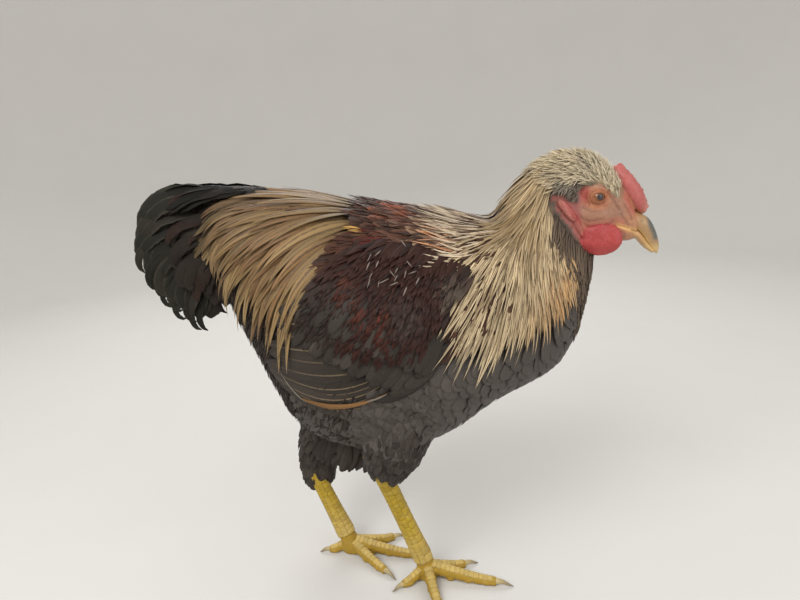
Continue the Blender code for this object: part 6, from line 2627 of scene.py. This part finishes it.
        light = replace(
            bow, name=f"wing_glints_{word}", colouring=look, length=(0.0075, 0.0085), half_width=0.00042,
            lie=(0.0018, 0.0004, 0.0012), base=0.0054, wander=0.4
        )
        area = ((0.048, 0.286, 0.266), (0.03, 0.29, 0.264), (0.014, 0.286, 0.27))
        roots = self.tracts.on_side(self.coat.form, self.side, np.array(area), 0.006, 0.0046)
        self.coat.cover(light, roots.chosen(self.coat.chance.random(len(roots.spots)) < 0.5), "coat_dark")


@dataclass
class Tail:
    """Curved black tail feathers that fan out and droop, over shorter coverts."""

    coat: Coat
    finish: PlumageFinish = PlumageFinish(
        "tail feathers", 0.5, 0.0, (40.0, 15.0), 1.2, 0.6, tone(84, 78, 66), 0.22, 0.08
    )
    # Root x, y, z; start angle above the rear level; bend; spread; roof; length; half width; hook at the tip.
    feathers: tuple = (
        (-0.106, 0.0035, 0.328, 14, 100, 0.0, 60, 0.066, 0.01, 0),
        (-0.11, 0.0072, 0.3225, 20, 98, 0.02, 42, 0.064, 0.0112, 0),
        (-0.112, 0.0098, 0.314, 16, 84, 0.04, 38, 0.062, 0.01, 10),
        (-0.112, 0.0108, 0.306, 9, 66, 0.07, 34, 0.064, 0.0086, 20),
        (-0.1118, 0.0114, 0.299, 5, 60, 0.09, 32, 0.058, 0.008, 40),
        (-0.1115, 0.0118, 0.2975, -2, 56, 0.1, 30, 0.061, 0.0086, 40),
        (-0.111, 0.0125, 0.294, -10, 48, 0.12, 26, 0.059, 0.0078, 60),
        (-0.1105, 0.0132, 0.2905, -17, 44, 0.13, 24, 0.06, 0.0074, 70),
        (-0.11, 0.0136, 0.2885, -26, 38, 0.14, 22, 0.056, 0.0078, 70),
        (-0.11, 0.014, 0.287, -32, 34, 0.14, 22, 0.058, 0.0074, 60),
        (-0.1092, 0.0145, 0.2835, -41, 28, 0.14, 21, 0.05, 0.008, 40),
        (-0.1085, 0.015, 0.28, -47, 24, 0.14, 20, 0.05, 0.008, 30),
        (-0.1092, 0.0152, 0.2765, -55, 20, 0.13, 19, 0.044, 0.008, 20),
        (-0.11, 0.0155, 0.273, -61, 16, 0.12, 18, 0.041, 0.0084, 10),
        (-0.1105, 0.015, 0.266, -75, 8, 0.1, 16, 0.032, 0.008, 0)
    )

    def paths(self, rows: Array, steps: int) -> tuple[Array, Array, Roots]:
        """Curved paths of feathers.

        Args:
            rows: One row of sizes for each feather, with the side as a last number.
            steps: Steps in each path.

        Returns:
            Places, normals and roots.
        """
        side = rows[:, 10]
        spot = rows[:, :3] * np.column_stack((np.ones(len(rows)), side, np.ones(len(rows))))
        roof = np.radians(rows[:, 6])
        normal = np.column_stack((np.zeros(len(rows)), side * np.cos(roof), np.sin(roof)))
        places = [spot]
        for k in range(steps):
            t = (k + 0.5) / steps
            angle = np.radians(rows[:, 3] - rows[:, 4] * t**1.4 - 1.6 * rows[:, 9] * t**6)
            way = unit(np.column_stack((-np.cos(angle), side * rows[:, 5], np.sin(angle))))
            places.append(places[-1] + way * (rows[:, 7] / steps)[:, None])
        normals = np.repeat(normal[:, None], steps + 1, axis=1)
        patches = np.column_stack((0.4 + rows[:, 7] + 0.01 * side, 0.75 + 0.2 * (rows[:, 3] + 80) / 120))
        return np.stack(places, axis=1), normals, Roots(spot, patches, np.full(len(rows), 0.5))

    def build(self, chance: np.random.Generator) -> None:
        """Main feathers, and shorter coverts over their roots.

        Args:
            chance: Source of the variation.
        """
        rear = toward(-1, 0, 0)
        look = Colouring(((33, 32, 27),) * 2, ((58, 54, 45),) * 2, (0.0, 0.4, 0.4), (0.3, (42, 38, 33)))
        broad = Style(
            "tail_feathers", self.finish, look, rear, (0.06, 0.06), 0.0, Tip.ROUNDED, (24, 16, 11),
            (0.0, -0.0004, 0.0004), 0.08, 0.0, 0.06, 0.08
        )
        narrow = replace(broad, tip=Tip.BLADE, ragged=0.1, roll=0.16)
        rows = np.array([(*feather, side.value) for feather in self.feathers for side in Side], float)
        hooked = rows[6:26] + (0, 0.0008, -0.002, -5, 0, 0, 0, 0.01, -0.0052, 34, 0)
        sets = [self._laid(broad, rows[:6]), self._laid(narrow, rows[6:]), self._laid(narrow, hooked)]
        self.coat.piece(broad, sets, "coat_dark")
        black = Blush(-0.1, 0.344, 0.05, (28, 26, 23), (20, 19, 17))
        look = Colouring(((42, 36, 31),) * 2, ((26, 23, 21),) * 2, (0.0, 0.4, 0.3), (0.3, (46, 34, 28)), (black,))
        covert = Style(
            "tail_coverts", self.finish, look, rear, (0.04, 0.04), 0.0, Tip.BLADE, (14, 8, 7), (0.0, 0.0, 0.0006),
            0.1, 0.0, 0.1, 0.16
        )
        spread = []
        for side in Side:
            for _ in range(40):
                which = chance.uniform(0, len(self.feathers) - 1.01)
                low = int(which)
                row = np.array(self.feathers[low]) * (1 - which + low) + np.array(
                    self.feathers[low + 1]
                ) * (which - low)
                row[0] += chance.uniform(0.004, 0.016)
                row[1] += chance.uniform(0.002, 0.006)
                row[3] += chance.normal(0, 6)
                row[7] *= chance.uniform(0.5, 0.8)
                row[8] = chance.uniform(0.0038, 0.0058)
                spread.append((*row, side.value))
            for _ in range(16):
                x = chance.uniform(-0.1, -0.062)
                y = chance.uniform(0.001, 0.015)
                z = 0.3325 - (x + 0.1) * 0.12 - 12.0 * y * y
                roof = 84 - 2400 * y
                spread.append((x, y, z, chance.normal(4, 3), 46, 0.02, roof, 0.052, 0.005, 0, side.value))
        self.coat.piece(covert, [self._laid(covert, np.array(spread))], "coat_dark")

    def _laid(self, style: Style, rows: Array) -> Plumes:
        """The feathers of the rows, each with its own width."""
        places, normals, roots = self.paths(rows, style.grid[1])
        plumes = self.coat.dressed(replace(style, half_width=1.0), places, normals, roots)
        return replace(plumes, widths=plumes.widths * rows[:, 8:9])


@dataclass
class Viewpoint:
    """The camera, the pale studio and its soft light."""

    lens: float = 27.72
    place: tuple[float, float, float] = (0.05916, -0.45899, 0.36)
    right: tuple[float, float, float] = (0.99639, 0.05158, -0.06738)
    up: tuple[float, float, float] = (0.05158, 0.26243, 0.96357)
    forward: tuple[float, float, float] = (-0.06738, 0.96357, -0.25882)

    def build(self, studio: Studio) -> None:
        """Sets up the camera, floor, backdrop and lights.

        Args:
            studio: Maker of the finishes.
        """
        scene = bpy.context.scene
        data = bpy.data.cameras.new("viewpoint")
        data.lens = self.lens
        data.sensor_width = 36.0
        data.clip_start = 0.01
        camera = bpy.data.objects.new("viewpoint", data)
        axes = np.column_stack((self.right, self.up, -np.array(self.forward)))
        camera.matrix_world = Matrix.Translation(
            Vector(np.array(self.place) + STANCE_SHIFT)
        ) @ Matrix(axes.tolist()).to_4x4()
        scene.collection.objects.link(camera)
        scene.camera = camera
        profile = [(0.02, 0.0), (1.4, 0.0)]
        profile += [(1.4 + 0.7 * math.sin(a), 0.7 - 0.7 * math.cos(a)) for a in np.linspace(0.1, 1.5, 12)]
        profile.append((2.12, 1.6))
        turn = 2 * math.pi * np.arange(72) / 72
        rings = np.array(
            [np.column_stack((r * np.cos(turn), r * np.sin(turn), np.full(72, z - 0.0004))) for r, z in profile]
        )
        points = rings.reshape(-1, 3)
        faces = [
            (
                r * 72 + k, r * 72 + (k + 1) % 72, (r + 1) * 72 + (k + 1) % 72, (r + 1) * 72 + k
            ) for r in range(len(profile) - 1) for k in range(72)
        ]
        faces.append(tuple(reversed(range(72))))
        mesh = bpy.data.meshes.new("studio")
        mesh.from_pydata(points.tolist(), [], faces)
        mesh.polygons.foreach_set("use_smooth", np.ones(len(mesh.polygons), bool))
        mesh.materials.append(studio.finish(StudioFinish("studio paper", tone(206, 204, 200))))
        stage = bpy.data.objects.new("studio", mesh)
        scene.collection.objects.link(stage)
        self._light("key", (-0.55, -1.0, 1.25), 0.9, 17.0)
        self._light("fill", (1.0, -0.8, 0.7), 1.0, 6.0)
        self._light("back", (-0.2, 1.0, 1.1), 0.9, 7.0)
        world = bpy.data.worlds.new("studio")
        world.use_nodes = True
        background = world.node_tree.nodes["Background"]
        background.inputs["Color"].default_value = (1.0, 0.985, 0.96, 1.0)
        background.inputs["Strength"].default_value = 0.72
        scene.world = world
        scene.view_settings.view_transform = "Standard"

    @staticmethod
    def _light(name: str, place: tuple[float, float, float], size: float, power: float) -> None:
        """A soft square light that faces the bird's middle."""
        data = bpy.data.lights.new(name, "AREA")
        data.size = size
        data.energy = power
        made = bpy.data.objects.new(name, data)
        way = Vector((0.0, 0.0, 0.2)) - Vector(place)
        made.matrix_world = Matrix.Translation(Vector(place)) @ way.to_track_quat("-Z", "Y").to_matrix().to_4x4()
        bpy.context.scene.collection.objects.link(made)


def main() -> None:
    """Builds the studio, the skin and the coat in order."""
    logging.basicConfig(level=logging.INFO, format="%(name)s: %(message)s")
    studio = Studio()
    chance = np.random.default_rng(SEED)
    trunk = Trunk()
    shape = Frame(trunk)
    head = Head(trunk)
    Viewpoint().build(studio)
    face = Skin(shape, head, LEGS).build(studio, chance)
    head.build_eyes(studio)
    head.build_lids(studio, face, Skin.flesh)
    Bill().build(studio)
    for leg in LEGS:
        leg.build_plates(studio, chance)
        leg.build_claws(studio)
    form = shape.coat_form(studio)
    coat = Coat(form, studio, SEED + 1)
    tracts = Tracts(trunk, SEED + 2)
    plumage = Plumage(coat, tracts)
    plumage.build_neck()
    plumage.build_head()
    plumage.build_back()
    plumage.build_saddle()
    plumage.build_breast()
    plumage.build_down(shape)
    plumage.build_fluff()
    for side in Side:
        Wing(side, coat, tracts).build()
    Tail(coat).build(chance)


if __name__ == "__main__":
    main()
